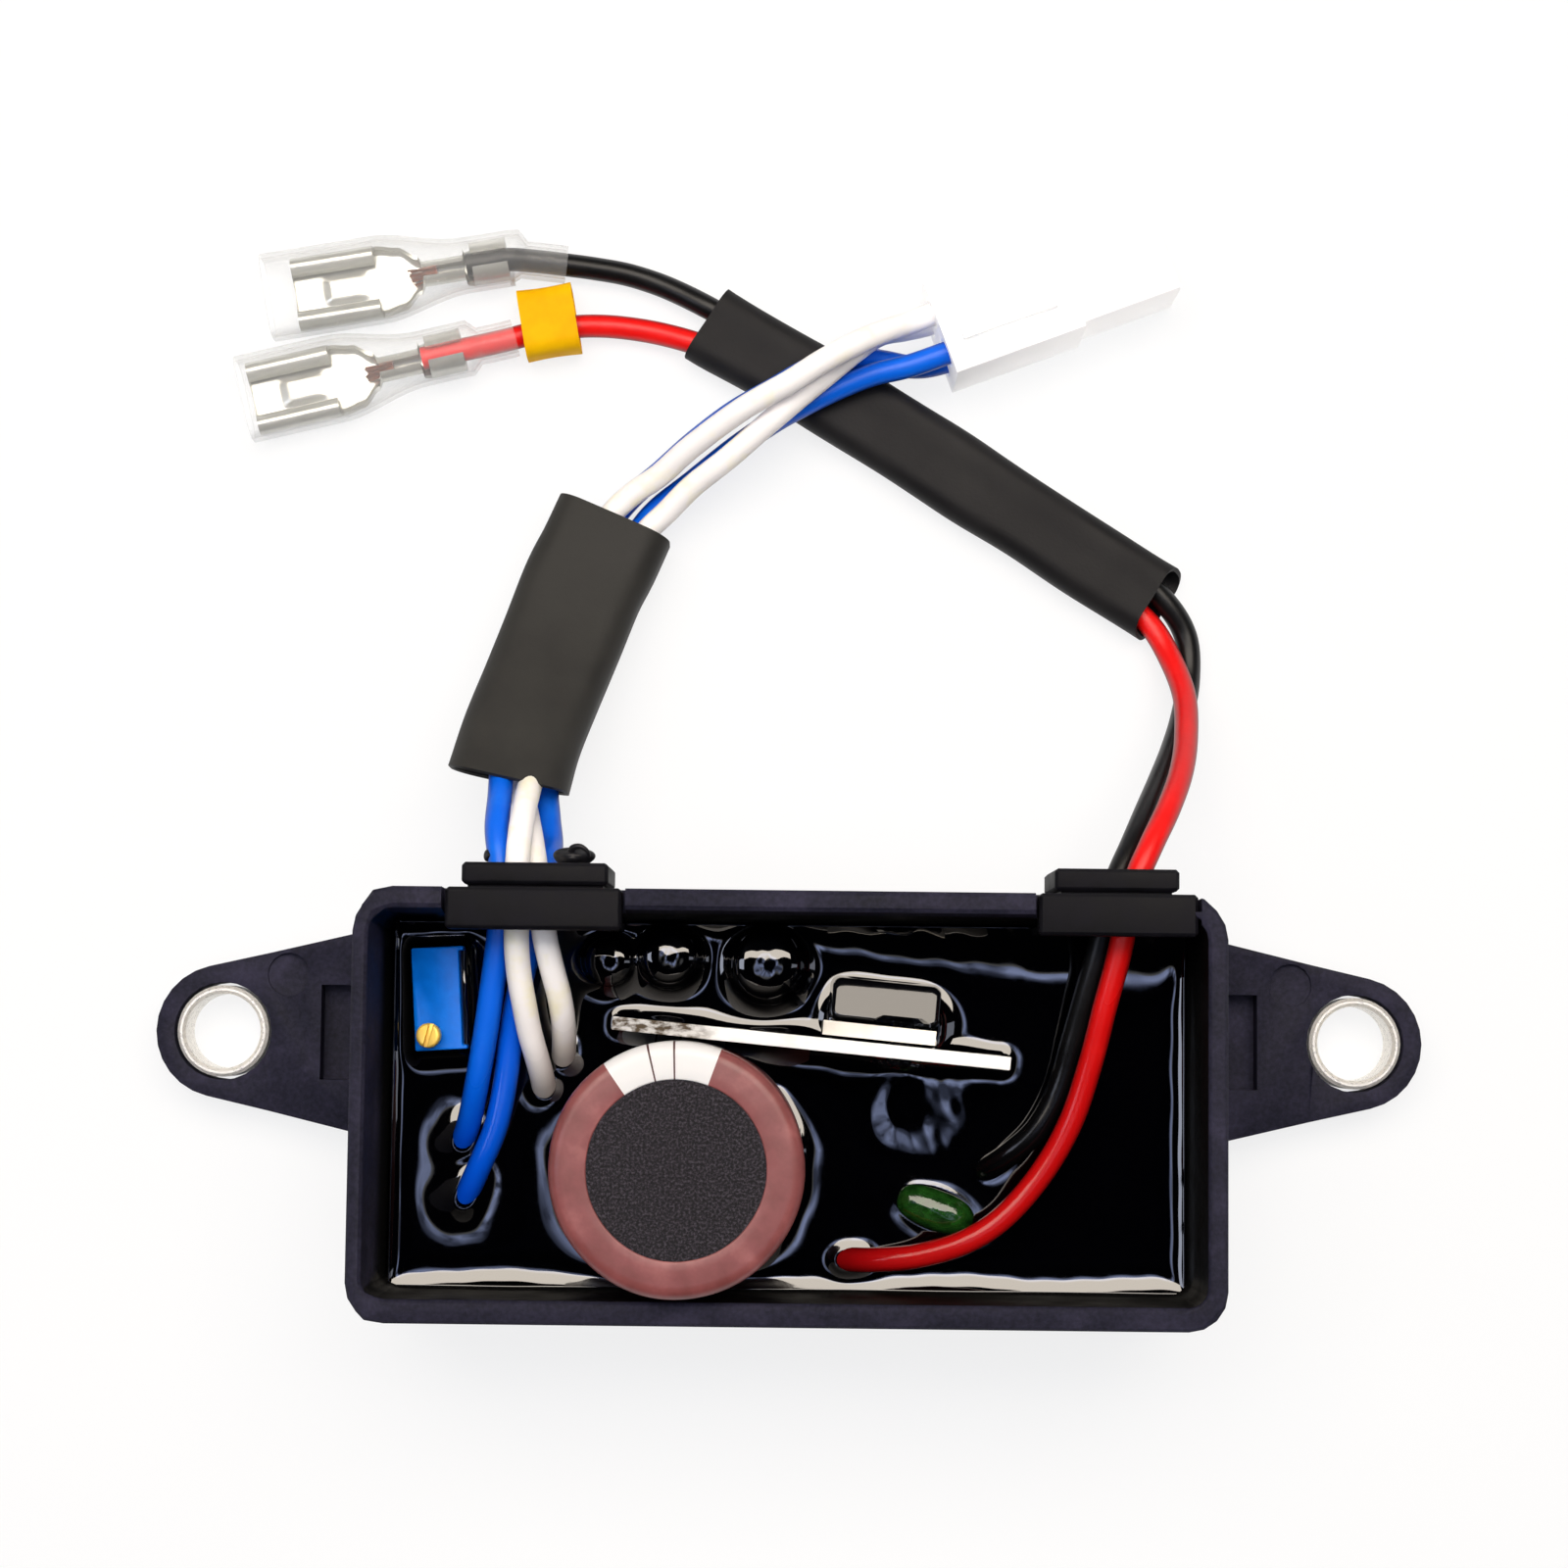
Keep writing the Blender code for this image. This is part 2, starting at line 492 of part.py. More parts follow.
def stacked(name, layers, finish, parent=None):
    """A loft of flat outlines, each given with its height."""
    rings = [[(u, v, height) for u, v in outline] for outline, height in layers]
    return loft(name, rings, finish, parent=parent)


def block(name, low, high, finish, bevel=0.0, parent=None):
    """A box between two corners, with its edges bevelled."""
    body = bmesh.new()
    bmesh.ops.create_cube(body, size=1.0)
    size = Vector(high) - Vector(low)
    middle = (Vector(high) + Vector(low)) / 2
    placed = Matrix.Translation(middle) @ Matrix.Diagonal((*size, 1))
    bmesh.ops.transform(body, matrix=placed, verts=body.verts)
    if bevel:
        bmesh.ops.bevel(body, geom=body.edges[:], offset=bevel, segments=1, affect="EDGES")
    return add_object(name, body, finish, parent)


def turned(name, profile, centre, finish, steps, parent=None):
    """A solid turned about a vertical line: the profile is a closed loop of (radius, height)."""
    body = bmesh.new()
    verts = [body.verts.new((radius, 0, height)) for radius, height in profile]
    edges = [body.edges.new(pair) for pair in zip(verts, verts[1:])]
    if profile[0][0] > 0:
        edges.append(body.edges.new((verts[-1], verts[0])))
    bmesh.ops.spin(body, geom=verts + edges, cent=(0, 0, 0), axis=(0, 0, 1), angle=2 * math.pi,
                   steps=steps, use_merge=True)
    bmesh.ops.remove_doubles(body, verts=body.verts, dist=1e-6)
    piece = add_object(name, body, finish, parent)
    piece.location = (centre[0], centre[1], 0)
    return piece


def pillar(name, centre, radius, low, high, finish, steps=ROUND_TURN, parent=None):
    """An upright round bar."""
    return turned(name, [(0, low), (radius, low), (radius, high), (0, high)], centre, finish, steps, parent)


# Smooth lines

def smooth_line(points, longest):
    """Points on a Catmull-Rom curve through the given ones, no further apart than longest."""
    known = [Vector(point) for point in points]
    known = [known[0] * 2 - known[1], *known, known[-1] * 2 - known[-2]]
    line = []
    for before, start, end, after in zip(known, known[1:], known[2:], known[3:]):
        parts = max(1, math.ceil((end - start).length / longest))
        for part in range(parts):
            t = part / parts
            line.append(0.5 * (2 * start + (end - before) * t
                               + (2 * before - 5 * start + 4 * end - after) * t * t
                               + (3 * start - before - 3 * end + after) * t ** 3))
    line.append(known[-2])
    return line


def line_frames(line):
    """For each point of a line: its direction, the level direction across it, and up."""
    frames = []
    for index, point in enumerate(line):
        ahead = line[min(index + 1, len(line) - 1)] - line[max(index - 1, 0)]
        ahead.normalize()
        across = ahead.cross(Vector((0, 0, 1))).normalized()
        frames.append((point, ahead, across, across.cross(ahead)))
    return frames


def rings_along(line, outlines):
    """The outlines, set square across a line."""
    rings = []
    for (point, _, across, up), outline in zip(line_frames(line), outlines):
        rings.append([point + across * u + up * v for u, v in outline])
    return rings


def hollow_along(name, line, outer, inner, finish):
    """A tube with open ends: the outer outlines forward, then the inner ones back."""
    rings = rings_along(line, outer) + rings_along(line, inner)[::-1]
    return loft(name, rings, finish, closed=True)


# Case

def case_inset(height):
    """How far the case's outer side stands in from the rim's outline at this height."""
    return CASE_DRAFT * (1 - height / CASE_DEPTH)


def case_outline(inset):
    corner = max(CASE_CORNER - inset, 0.0008)
    return rounded_outline(CASE_LENGTH - 2 * inset, CASE_WIDTH - 2 * inset, corner)


def inner_outline(height, clearance=0.0):
    """The inside of the case wall at this height, drawn in by a clearance."""
    return case_outline(case_inset(height) + CASE_WALL + clearance)


def make_ear(side):
    """One mounting ear as a joining tool: a tapered plate, thicker towards the case."""
    hole_x = EAR_HOLE_SPAN / 2
    face_x = CASE_LENGTH / 2 - CASE_DRAFT
    root_x = face_x - CASE_WALL / 2
    reach = math.hypot(hole_x - root_x, EAR_ROOT_HALF)
    lean = math.atan2(EAR_ROOT_HALF, root_x - hole_x)
    touch = lean - math.acos(EAR_END_RADIUS / reach)
    outline = [(root_x, -EAR_ROOT_HALF)]
    for step in range(ROUND_TURN // 2 + 1):
        angle = -touch + 2 * touch * step / (ROUND_TURN // 2)
        outline.append((hole_x + EAR_END_RADIUS * math.cos(angle), EAR_END_RADIUS * math.sin(angle)))
    outline.append((root_x, EAR_ROOT_HALF))
    placed = [(side * x, EAR_OFFSET + y) for x, y in outline]
    top = EAR_THICKNESS + EAR_ROOT_RISE
    ear = stacked(f"ear_{side}_tool", [(placed, EAR_RELIEF), (placed, top)], "case_nylon")
    ramp_x = face_x + EAR_RAMP_LENGTH
    far_x = hole_x + 2 * EAR_END_RADIUS
    steep = EAR_ROOT_RISE / EAR_RAMP_LENGTH
    over_x = face_x - CASE_WALL
    over_top = top + steep * CASE_WALL
    wedge = [
        (over_x, over_top), (ramp_x, EAR_THICKNESS), (far_x, EAR_THICKNESS),
        (far_x, 2 * top), (over_x, 2 * top),
    ]
    half = 2 * EAR_ROOT_HALF
    rings = [[(side * x, y, z) for x, z in wedge] for y in (EAR_OFFSET - half, EAR_OFFSET + half)]
    cut(ear, loft(f"ear_{side}_ramp_tool", rings, "case_nylon"))
    return ear


def make_ear_pocket(side):
    """The sink-saving pocket between the bush and the case."""
    middle = side * (CASE_LENGTH / 2 + POCKET_FROM_CASE)
    top = EAR_THICKNESS + EAR_ROOT_RISE
    low = (middle - POCKET_WIDTH / 2, EAR_OFFSET - POCKET_LENGTH / 2, top - POCKET_DEPTH)
    high = (middle + POCKET_WIDTH / 2, EAR_OFFSET + POCKET_LENGTH / 2, 2 * top)
    return block(f"pocket_{side}_tool", low, high, "case_nylon")


def grommet_sizes(side):
    """A grommet's middle along the case, and the widths of its cap, waist and outer flange."""
    if side == "left":
        middle = -CASE_LENGTH / 2 + LEFT_GROMMET_FROM_END
        return middle, LEFT_GROMMET_WIDTH, LEFT_GROMMET_WAIST, LEFT_GROMMET_FLANGE
    middle = CASE_LENGTH / 2 - RIGHT_GROMMET_FROM_END
    return middle, RIGHT_GROMMET_WIDTH, RIGHT_GROMMET_WAIST, RIGHT_GROMMET_FLANGE


def grommet_slot(side):
    """The slot's middle from the grommet's middle, its width, its top below the rim and its height."""
    if side == "left":
        return LEFT_SLOT_SHIFT, LEFT_SLOT_WIDTH, LEFT_SLOT_TOP, LEFT_SLOT_HEIGHT
    return RIGHT_SLOT_SHIFT, RIGHT_SLOT_WIDTH, RIGHT_SLOT_TOP, RIGHT_SLOT_HEIGHT


def make_notch(side):
    """The stepped opening in the wall that a grommet slides into, as two cutting tools."""
    middle, cap_width, waist_width, _ = grommet_sizes(side)
    wall_in = CASE_WIDTH / 2 - 2 * CASE_WALL
    wall_out = CASE_WIDTH / 2 + CASE_WALL
    over = 2 * CASE_DEPTH
    cap_half = cap_width / 2 + GAP
    waist_half = waist_width / 2 + GAP
    cap_low = CASE_DEPTH - GROMMET_CAP_HEIGHT - GAP
    wide = block(f"notch_{side}_wide_tool", (middle - cap_half, wall_in, cap_low),
                 (middle + cap_half, wall_out, over), "case_nylon")
    deep = block(f"notch_{side}_deep_tool", (middle - waist_half, wall_in, GROMMET_LOW - GAP),
                 (middle + waist_half, wall_out, over), "case_nylon")
    return wide, deep


def post_places():
    """Where the four board posts stand."""
    reach_x = CASE_LENGTH / 2 - CASE_WALL - BOARD_MARGIN - POST_INSET
    reach_y = CASE_WIDTH / 2 - CASE_WALL - BOARD_MARGIN - POST_INSET
    return [(x, y) for x in (-reach_x, reach_x) for y in (-reach_y, reach_y)]


def make_housing():
    """The moulded case with its ears, posts, pockets and the two notches in its upper wall."""
    inner_floor = inner_outline(CASE_FLOOR)
    layers = [
        (case_outline(case_inset(0) + RIM_ROUNDING), 0.0),
        (case_outline(case_inset(RIM_ROUNDING)), RIM_ROUNDING),
        (case_outline(case_inset(CASE_DEPTH - RIM_ROUNDING)), CASE_DEPTH - RIM_ROUNDING),
        (case_outline(RIM_ROUNDING), CASE_DEPTH),
        (case_outline(CASE_WALL - RIM_ROUNDING), CASE_DEPTH),
        (inner_outline(CASE_DEPTH - RIM_ROUNDING), CASE_DEPTH - RIM_ROUNDING),
        (inner_floor, CASE_FLOOR),
    ]
    housing = stacked("housing", layers, "case_nylon")
    for number, place in enumerate(post_places()):
        post = pillar(f"post_{number}_tool", place, POST_RADIUS, CASE_FLOOR / 2, CASE_FLOOR + POST_HEIGHT,
                      "case_nylon", SMALL_TURN)
        join(housing, post)
    for side in (-1, 1):
        join(housing, make_ear(side))
        hole = (side * EAR_HOLE_SPAN / 2, EAR_OFFSET)
        bore = pillar(f"ear_{side}_bore_tool", hole, BUSH_OUTER / 2 + GAP, -EAR_THICKNESS, 2 * EAR_THICKNESS,
                      "case_nylon")
        mark_place = (hole[0] - side * EJECTOR_MARK_INWARD, EAR_OFFSET + EJECTOR_MARK_RISE)
        mark = pillar(f"ear_{side}_mark_tool", mark_place, EJECTOR_MARK / 2,
                      EAR_THICKNESS - EJECTOR_MARK_DEPTH, 2 * EAR_THICKNESS, "case_nylon", SMALL_TURN)
        cut(housing, make_ear_pocket(side), bore, mark)
    for side in ("left", "right"):
        cut(housing, *make_notch(side))
    return housing


def make_bush(name, side):
    """A turned steel bush, flush with both faces of its ear."""
    outer, inner, chamfer = BUSH_OUTER / 2, BUSH_BORE / 2, BUSH_CHAMFER
    profile = [
        (inner, chamfer), (inner + chamfer, 0), (outer - chamfer, 0), (outer, chamfer),
        (outer, EAR_THICKNESS - chamfer), (outer - chamfer, EAR_THICKNESS),
        (inner + chamfer, EAR_THICKNESS), (inner, EAR_THICKNESS - chamfer),
    ]
    return turned(name, profile, (side * EAR_HOLE_SPAN / 2, EAR_OFFSET), "bush_steel", ROUND_TURN)


# Board and resin

def board_outline(clearance=0.0):
    margin = case_inset(BOARD_LOW) + CASE_WALL + BOARD_MARGIN - clearance
    return rounded_outline(CASE_LENGTH - 2 * margin, CASE_WIDTH - 2 * margin, BOARD_CORNER)


def pin_places():
    x, y = CAPACITOR_PLACE
    return [(x - PIN_SPACING / 2, y), (x + PIN_SPACING / 2, y)]


def make_board():
    """The circuit board, with a hole for each pin of the large capacitor."""
    outline = board_outline()
    board = stacked("circuit_board", [(outline, BOARD_LOW), (outline, BOARD_TOP)], "board_laminate")
    for number, place in enumerate(pin_places()):
        hole = pillar(f"pin_hole_{number}_tool", place, PIN_RADIUS + GAP, 0, 2 * BOARD_TOP,
                      "board_laminate", CHANNEL_TURN)
        cut(board, hole)
    return board


def make_channel(name):
    """The passage that a lead leaves in the resin, as a cutting tool."""
    line = smooth_line(ROUTES[name], LEAD_DIAMETER)
    radius = (LEAD_RADIUS + WIRE_GAP) / math.cos(math.pi / CHANNEL_TURN)
    clear = RESIN_TOP + RESIN_HUMP_HEIGHT + radius
    last = next((i for i, point in enumerate(line) if point.z > clear), len(line) - 1)
    kept = [point for point in line[:last + 1] if abs(point.y) < CASE_WIDTH / 2]
    kept.insert(0, kept[0] - Vector((0, 0, GAP + WIRE_GAP)))
    section = oval_outline(2 * radius, 2 * radius, CHANNEL_TURN)
    run = kept[0] - kept[-1]
    level = Vector((run.y, -run.x, 0))
    rings = []
    for index, point in enumerate(kept):
        ahead = kept[min(index + 1, len(kept) - 1)] - kept[max(index - 1, 0)]
        across = ahead.cross(level).normalized()
        other = ahead.normalized().cross(across)
        rings.append([point + across * u + other * v for u, v in section])
    return loft(f"channel_{name}_tool", rings, "potting_resin")


def make_resin():
    """The cured resin: it fills the case round the board and holds the lower half of each part."""
    layers = []
    for height in (RESIN_LOW, RESIN_TOP):
        layers.append((inner_outline(height, GAP), height))
    resin = stacked("potting_resin", layers, "potting_resin")
    hump_x, hump_y = beside_capacitor(RESIN_HUMP_OFFSET)
    hump_layers = []
    for share in (0.0, 0.5, 0.8, 1.0):
        width = math.sqrt(1 - 0.8 * share ** 2)
        outline = oval_outline(RESIN_HUMP[0] * width, RESIN_HUMP[1] * width, SMALL_TURN)
        moved = [(u + hump_x, v + hump_y) for u, v in outline]
        hump_layers.append((moved, RESIN_TOP - GAP + share * RESIN_HUMP_HEIGHT))
    join(resin, stacked("resin_hump_tool", hump_layers, "potting_resin"))
    outline = board_outline(GAP)
    board_layers = [(outline, BOARD_LOW - GAP), (outline, PART_LOW)]
    cut(resin, stacked("board_space_tool", board_layers, "potting_resin"))
    for number, place in enumerate(post_places()):
        space = pillar(f"post_space_{number}_tool", place, POST_RADIUS + GAP, 0, BOARD_LOW,
                       "potting_resin", SMALL_TURN)
        cut(resin, space)
    return resin


def resin_space(resin, name, outline, place, turn=0.0, high=2 * RESIN_TOP):
    """Cut a part's own space into the resin, from the board upwards."""
    tool = stacked(f"{name}_space_tool", [(outline, PART_LOW - GAP / 2), (outline, high)], "potting_resin")
    tool.location = (place[0], place[1], 0)
    tool.rotation_euler = (0, 0, turn)
    cut(resin, tool)


def round_outline(radius, count):
    """A circle drawn just outside the radius, so that its flats clear it."""
    outside = 2 * radius / math.cos(math.pi / count)
    return oval_outline(outside, outside, count)


def beside_capacitor(offset):
    """A place on the board that is given from the large capacitor's middle."""
    return CAPACITOR_PLACE[0] + offset[0], CAPACITOR_PLACE[1] + offset[1]


# Large capacitor

def make_capacitor():
    """The can on its rubber bung, in its shrink sleeve, with the disc on its top."""
    place = CAPACITOR_PLACE
    can_low = PART_LOW + BUNG_HEIGHT + GAP
    can_top = PART_LOW + CAPACITOR_HEIGHT
    shoulder = CAPACITOR_SHOULDER
    radius = CAPACITOR_RADIUS
    turned("capacitor_can", [
        (0, can_low), (radius, can_low), (radius, can_top - shoulder),
        (radius - 0.3 * shoulder, can_top - 0.3 * shoulder), (radius - shoulder, can_top), (0, can_top),
    ], place, "can_aluminium", FINE_TURN)
    inner = radius + GAP
    outer = inner + SLEEVE_FILM
    lip_low = can_top + GAP
    lip_high = lip_low + SLEEVE_FILM
    lift = GAP + SLEEVE_FILM
    turned("capacitor_sleeve", [
        (BUNG_RADIUS + GAP, PART_LOW), (outer, PART_LOW), (outer, lip_high - lift - 0.7 * shoulder),
        (outer - 0.35 * shoulder, lip_high - 0.3 * shoulder), (outer - shoulder - lift, lip_high),
        (SLEEVE_LIP_OPENING, lip_high), (SLEEVE_LIP_OPENING, lip_low), (inner - shoulder - GAP, lip_low),
        (inner - 0.25 * shoulder, lip_low - 0.4 * shoulder), (inner, lip_low - GAP - 0.7 * shoulder),
        (inner, PART_LOW + SLEEVE_FILM), (BUNG_RADIUS + GAP, PART_LOW + SLEEVE_FILM),
    ], place, "shrink_film", FINE_TURN)
    disc_low = can_top + GAP
    pillar("capacitor_top_disc", place, SLEEVE_LIP_OPENING - GAP, disc_low, disc_low + TOP_DISC_THICKNESS,
           "disc_paper", FINE_TURN)
    bung = pillar("capacitor_bung", place, BUNG_RADIUS, PART_LOW, PART_LOW + BUNG_HEIGHT, "bung_rubber")
    for number, pin in enumerate(pin_places()):
        leg = pillar(f"pin_{number}_tool", pin, PIN_RADIUS, BOARD_LOW, PART_LOW + BUNG_HEIGHT / 2,
                     "bung_rubber", CHANNEL_TURN)
        join(bung, leg)


# Heatsink plate and transistor

def plate_carrier():
    """An empty on the plate's middle line, turned with it: local +Y is the transistor's side."""
    x, y = CAPACITOR_PLACE
    along = Vector((math.cos(PLATE_TURN), math.sin(PLATE_TURN)))
    off = Vector((-along.y, along.x)) * (SLEEVE_RADIUS + GAP + PLATE_THICKNESS / 2)
    middle = Vector((x, y)) + off + along * PLATE_SHIFT
    return add_empty("plate_carrier", (middle.x, middle.y, 0), PLATE_TURN)


def rivet_place():
    """Along the plate, and its height."""
    body_top = PART_LOW + TAB_LIFT + TRANSISTOR_HEIGHT
    return TAB_SHIFT, body_top + RIVET_OVER_BODY + RIVET_HEAD_RADIUS


def make_rivet_hole(name, carrier):
    """A level bore through plate and tab, as a cutting tool."""
    along, height = rivet_place()
    outline = round_outline(RIVET_RADIUS + GAP, SMALL_TURN)
    rings = [[(along + u, y, height + v) for u, v in outline] for y in (-TAB_WIDTH, TAB_WIDTH)]
    return loft(name, rings, "plate_aluminium", parent=carrier)


def make_heatsink(carrier):
    """The bright plate, the transistor's tab and body, and the rivet that holds them together."""
    half = PLATE_LENGTH / 2
    back = PLATE_THICKNESS / 2
    plate = block("heatsink_plate", (-half, -back, PART_LOW), (half, back, PART_LOW + PLATE_HEIGHT),
                  "plate_aluminium", parent=carrier)
    cut(plate, make_rivet_hole("plate_hole_tool", carrier))
    tab_back = back + GAP
    tab_front = tab_back + TAB_THICKNESS
    left, right = TAB_SHIFT - TAB_WIDTH / 2, TAB_SHIFT + TAB_WIDTH / 2
    tab_low = PART_LOW + TAB_LIFT
    tab = block("transistor_tab", (left, tab_back, tab_low), (right, tab_front, tab_low + TAB_HEIGHT),
                "tab_tin", parent=carrier)
    cut(tab, make_rivet_hole("tab_hole_tool", carrier))
    body_back = tab_front + GAP
    body_top = tab_low + TRANSISTOR_HEIGHT
    body = block("transistor_body", (left, body_back, tab_low), (right, body_back + TRANSISTOR_DEPTH, body_top),
                 "transistor_epoxy", bevel=LEG_WIDTH / 4, parent=carrier)
    for leg in (-1, 0, 1):
        middle = TAB_SHIFT + leg * LEG_PITCH
        depth = body_back + TRANSISTOR_DEPTH / 2
        tool = block(f"leg_{leg}_tool", (middle - LEG_WIDTH / 2, depth - LEG_WIDTH / 4, PART_LOW),
                     (middle + LEG_WIDTH / 2, depth + LEG_WIDTH / 4, tab_low + TRANSISTOR_HEIGHT / 2),
                     "transistor_epoxy", parent=carrier)
        join(body, tool)
    make_rivet(carrier, -back - GAP, tab_front + GAP)


def make_rivet(carrier, back, front):
    """The rivet: a shank with a low head behind the plate and another before the tab."""
    along, height = rivet_place()
    crown = 0.7 * RIVET_HEAD_RADIUS
    edge = 0.4 * RIVET_HEAD_HEIGHT
    stations = [
        (back - RIVET_HEAD_HEIGHT, crown), (back - edge, RIVET_HEAD_RADIUS), (back, RIVET_HEAD_RADIUS),
        (back, RIVET_RADIUS), (front, RIVET_RADIUS),
        (front, RIVET_HEAD_RADIUS), (front + edge, RIVET_HEAD_RADIUS), (front + RIVET_HEAD_HEIGHT, crown),
    ]
    rings = []
    for y, radius in stations:
        rings.append([(along + u, y, height + v) for u, v in oval_outline(2 * radius, 2 * radius, SMALL_TURN)])
    loft("transistor_rivet", rings, "tab_tin", parent=carrier)


# Trimmer

def trimmer_carrier():
    x = -CASE_LENGTH / 2 + TRIMMER_FROM_END
    y = UPPER_SIDE - TRIMMER_FROM_UPPER_SIDE
    return add_empty("trimmer_carrier", (x, y, 0), TRIMMER_TURN)


def screw_place():
    """The screw's middle in the trimmer's own frame."""
    return -TRIMMER_WIDTH / 2 + SCREW_FROM_SIDE, -TRIMMER_LENGTH / 2 + SCREW_FROM_END


def make_trimmer(carrier):
    """The trimmer's body, stepped on one side, with the hole for its screw."""
    half_width, half_length = TRIMMER_WIDTH / 2, TRIMMER_LENGTH / 2
    top = PART_LOW + TRIMMER_HEIGHT
    step_end = half_length - TRIMMER_STEP_END
    step = half_width - TRIMMER_STEP
    outline = [
        (-half_width, -half_length), (half_width, -half_length), (half_width, -step_end), (step, -step_end),
        (step, step_end), (half_width, step_end), (half_width, half_length), (-half_width, half_length),
    ]
    body = stacked("trimmer_body", [(outline, PART_LOW), (outline, top)], "trimmer_plastic", parent=carrier)
    depth = SCREW_SHANK_LENGTH + GAP
    hole = pillar("screw_hole_tool", screw_place(), SCREW_SHANK_RADIUS + GAP, top - depth, 2 * top,
                  "trimmer_plastic", SMALL_TURN, carrier)
    cut(body, hole)


def make_screw(carrier):
    """The brass adjusting screw, with its origin on its own axis."""
    seat = PART_LOW + TRIMMER_HEIGHT + GAP
    head = SCREW_HEAD_RADIUS
    top = seat + SCREW_HEAD_HEIGHT
    chamfer = SCREW_SLOT_WIDTH / 2
    shank_low = seat - GAP - SCREW_SHANK_LENGTH
    screw = turned("trimmer_screw", [
        (0, shank_low), (SCREW_SHANK_RADIUS, shank_low), (SCREW_SHANK_RADIUS, seat), (head, seat),
        (head, top - chamfer), (head - chamfer, top), (0, top),
    ], screw_place(), "screw_brass", SMALL_TURN, carrier)
    reach = 2 * head
    slot = block("screw_slot_tool", (-reach, -SCREW_SLOT_WIDTH / 2, top - SCREW_SLOT_DEPTH),
                 (reach, SCREW_SLOT_WIDTH / 2, 2 * top), "screw_brass", parent=carrier)
    slot.location = (*screw_place(), 0)
    slot.rotation_euler = (0, 0, SCREW_SLOT_TURN)
    cut(screw, slot)


# Small parts on the board

def small_capacitor_place(along, below):
    return CAPACITOR_PLACE[0] + along, UPPER_SIDE - below


def make_small_capacitor(name, place, radius, height):
    """A small round capacitor with a domed top."""
    profile = [(0, PART_LOW), (radius, PART_LOW)]
    dome = 0.7 * radius
    for angle in (0, 30, 60):
        turn = math.radians(angle)
        profile.append((radius * math.cos(turn), PART_LOW + height - dome + dome * math.sin(turn)))
    profile.append((0, PART_LOW + height))
    turned(name, profile, place, "capacitor_black", SMALL_TURN)


def make_film_capacitor():
    """The dipped film capacitor: a flattened oval drop, turned on the board."""
    layers = []
    stations = [(0.0, 0.72), (0.12, 1.0), (0.72, 1.0), (0.9, 0.86), (1.0, 0.5)]
    for share, size in stations:
        narrower = (1 - size) * FILM_CAPACITOR_THICKNESS
        outline = oval_outline(FILM_CAPACITOR_LENGTH - narrower, FILM_CAPACITOR_THICKNESS * size, SMALL_TURN, 2.6)
        layers.append((outline, PART_LOW + share * FILM_CAPACITOR_HEIGHT))
    drop = stacked("film_capacitor", layers, "film_capacitor_coat")
    drop.location = (*beside_capacitor(FILM_CAPACITOR_OFFSET), 0)
    drop.rotation_euler = (0, 0, FILM_CAPACITOR_TURN)


def make_rectifier():
    x, y = beside_capacitor(RECTIFIER_OFFSET)
    half_x, half_y = RECTIFIER_LENGTH / 2, RECTIFIER_WIDTH / 2
    high = (x + half_x, y + half_y, PART_LOW + RECTIFIER_HEIGHT)
    block("rectifier_block", (x - half_x, y - half_y, PART_LOW), high, "transistor_epoxy", bevel=GAP)


def cut_resin_spaces(resin, plate, trimmer):
    """Leave room in the resin for every part and lead that stands in it."""
    clear = SLEEVE_RADIUS + GAP
    resin_space(resin, "capacitor", round_outline(clear, FINE_TURN), CAPACITOR_PLACE)
    for name, along, below, radius, _ in SMALL_CAPACITORS:
        outline = round_outline(radius + GAP, SMALL_TURN)
        resin_space(resin, name, outline, small_capacitor_place(along, below))
    drop = oval_outline(FILM_CAPACITOR_LENGTH + 3 * GAP, FILM_CAPACITOR_THICKNESS + 3 * GAP, SMALL_TURN, 2.6)
    resin_space(resin, "film_capacitor", drop, beside_capacitor(FILM_CAPACITOR_OFFSET), FILM_CAPACITOR_TURN)
    block_outline = rounded_outline(RECTIFIER_LENGTH + 2 * GAP, RECTIFIER_WIDTH + 2 * GAP, GAP, 1)
    rectifier_top = PART_LOW + RECTIFIER_HEIGHT + GAP
    resin_space(resin, "rectifier", block_outline, beside_capacitor(RECTIFIER_OFFSET), high=rectifier_top)
    sheet = rounded_outline(PLATE_LENGTH + 2 * GAP, PLATE_THICKNESS + 2 * GAP, GAP, 1)
    resin_space(resin, "heatsink_plate", sheet, plate.location, PLATE_TURN)
    depth = TAB_THICKNESS + TRANSISTOR_DEPTH + 2 * GAP
    offset = Vector((TAB_SHIFT, (PLATE_THICKNESS + depth) / 2, 0))
    middle = plate.location + Matrix.Rotation(PLATE_TURN, 3, "Z") @ offset
    stack = rounded_outline(TAB_WIDTH + 2 * GAP, depth + 2 * GAP, GAP, 1)
    resin_space(resin, "transistor", stack, middle, PLATE_TURN)
    body = rounded_outline(TRIMMER_WIDTH + 2 * GAP, TRIMMER_LENGTH + 2 * GAP, GAP, 1)
    resin_space(resin, "trimmer", body, trimmer.location, TRIMMER_TURN)
    for name in ROUTES:
        cut(resin, make_channel(name))


# Grommets

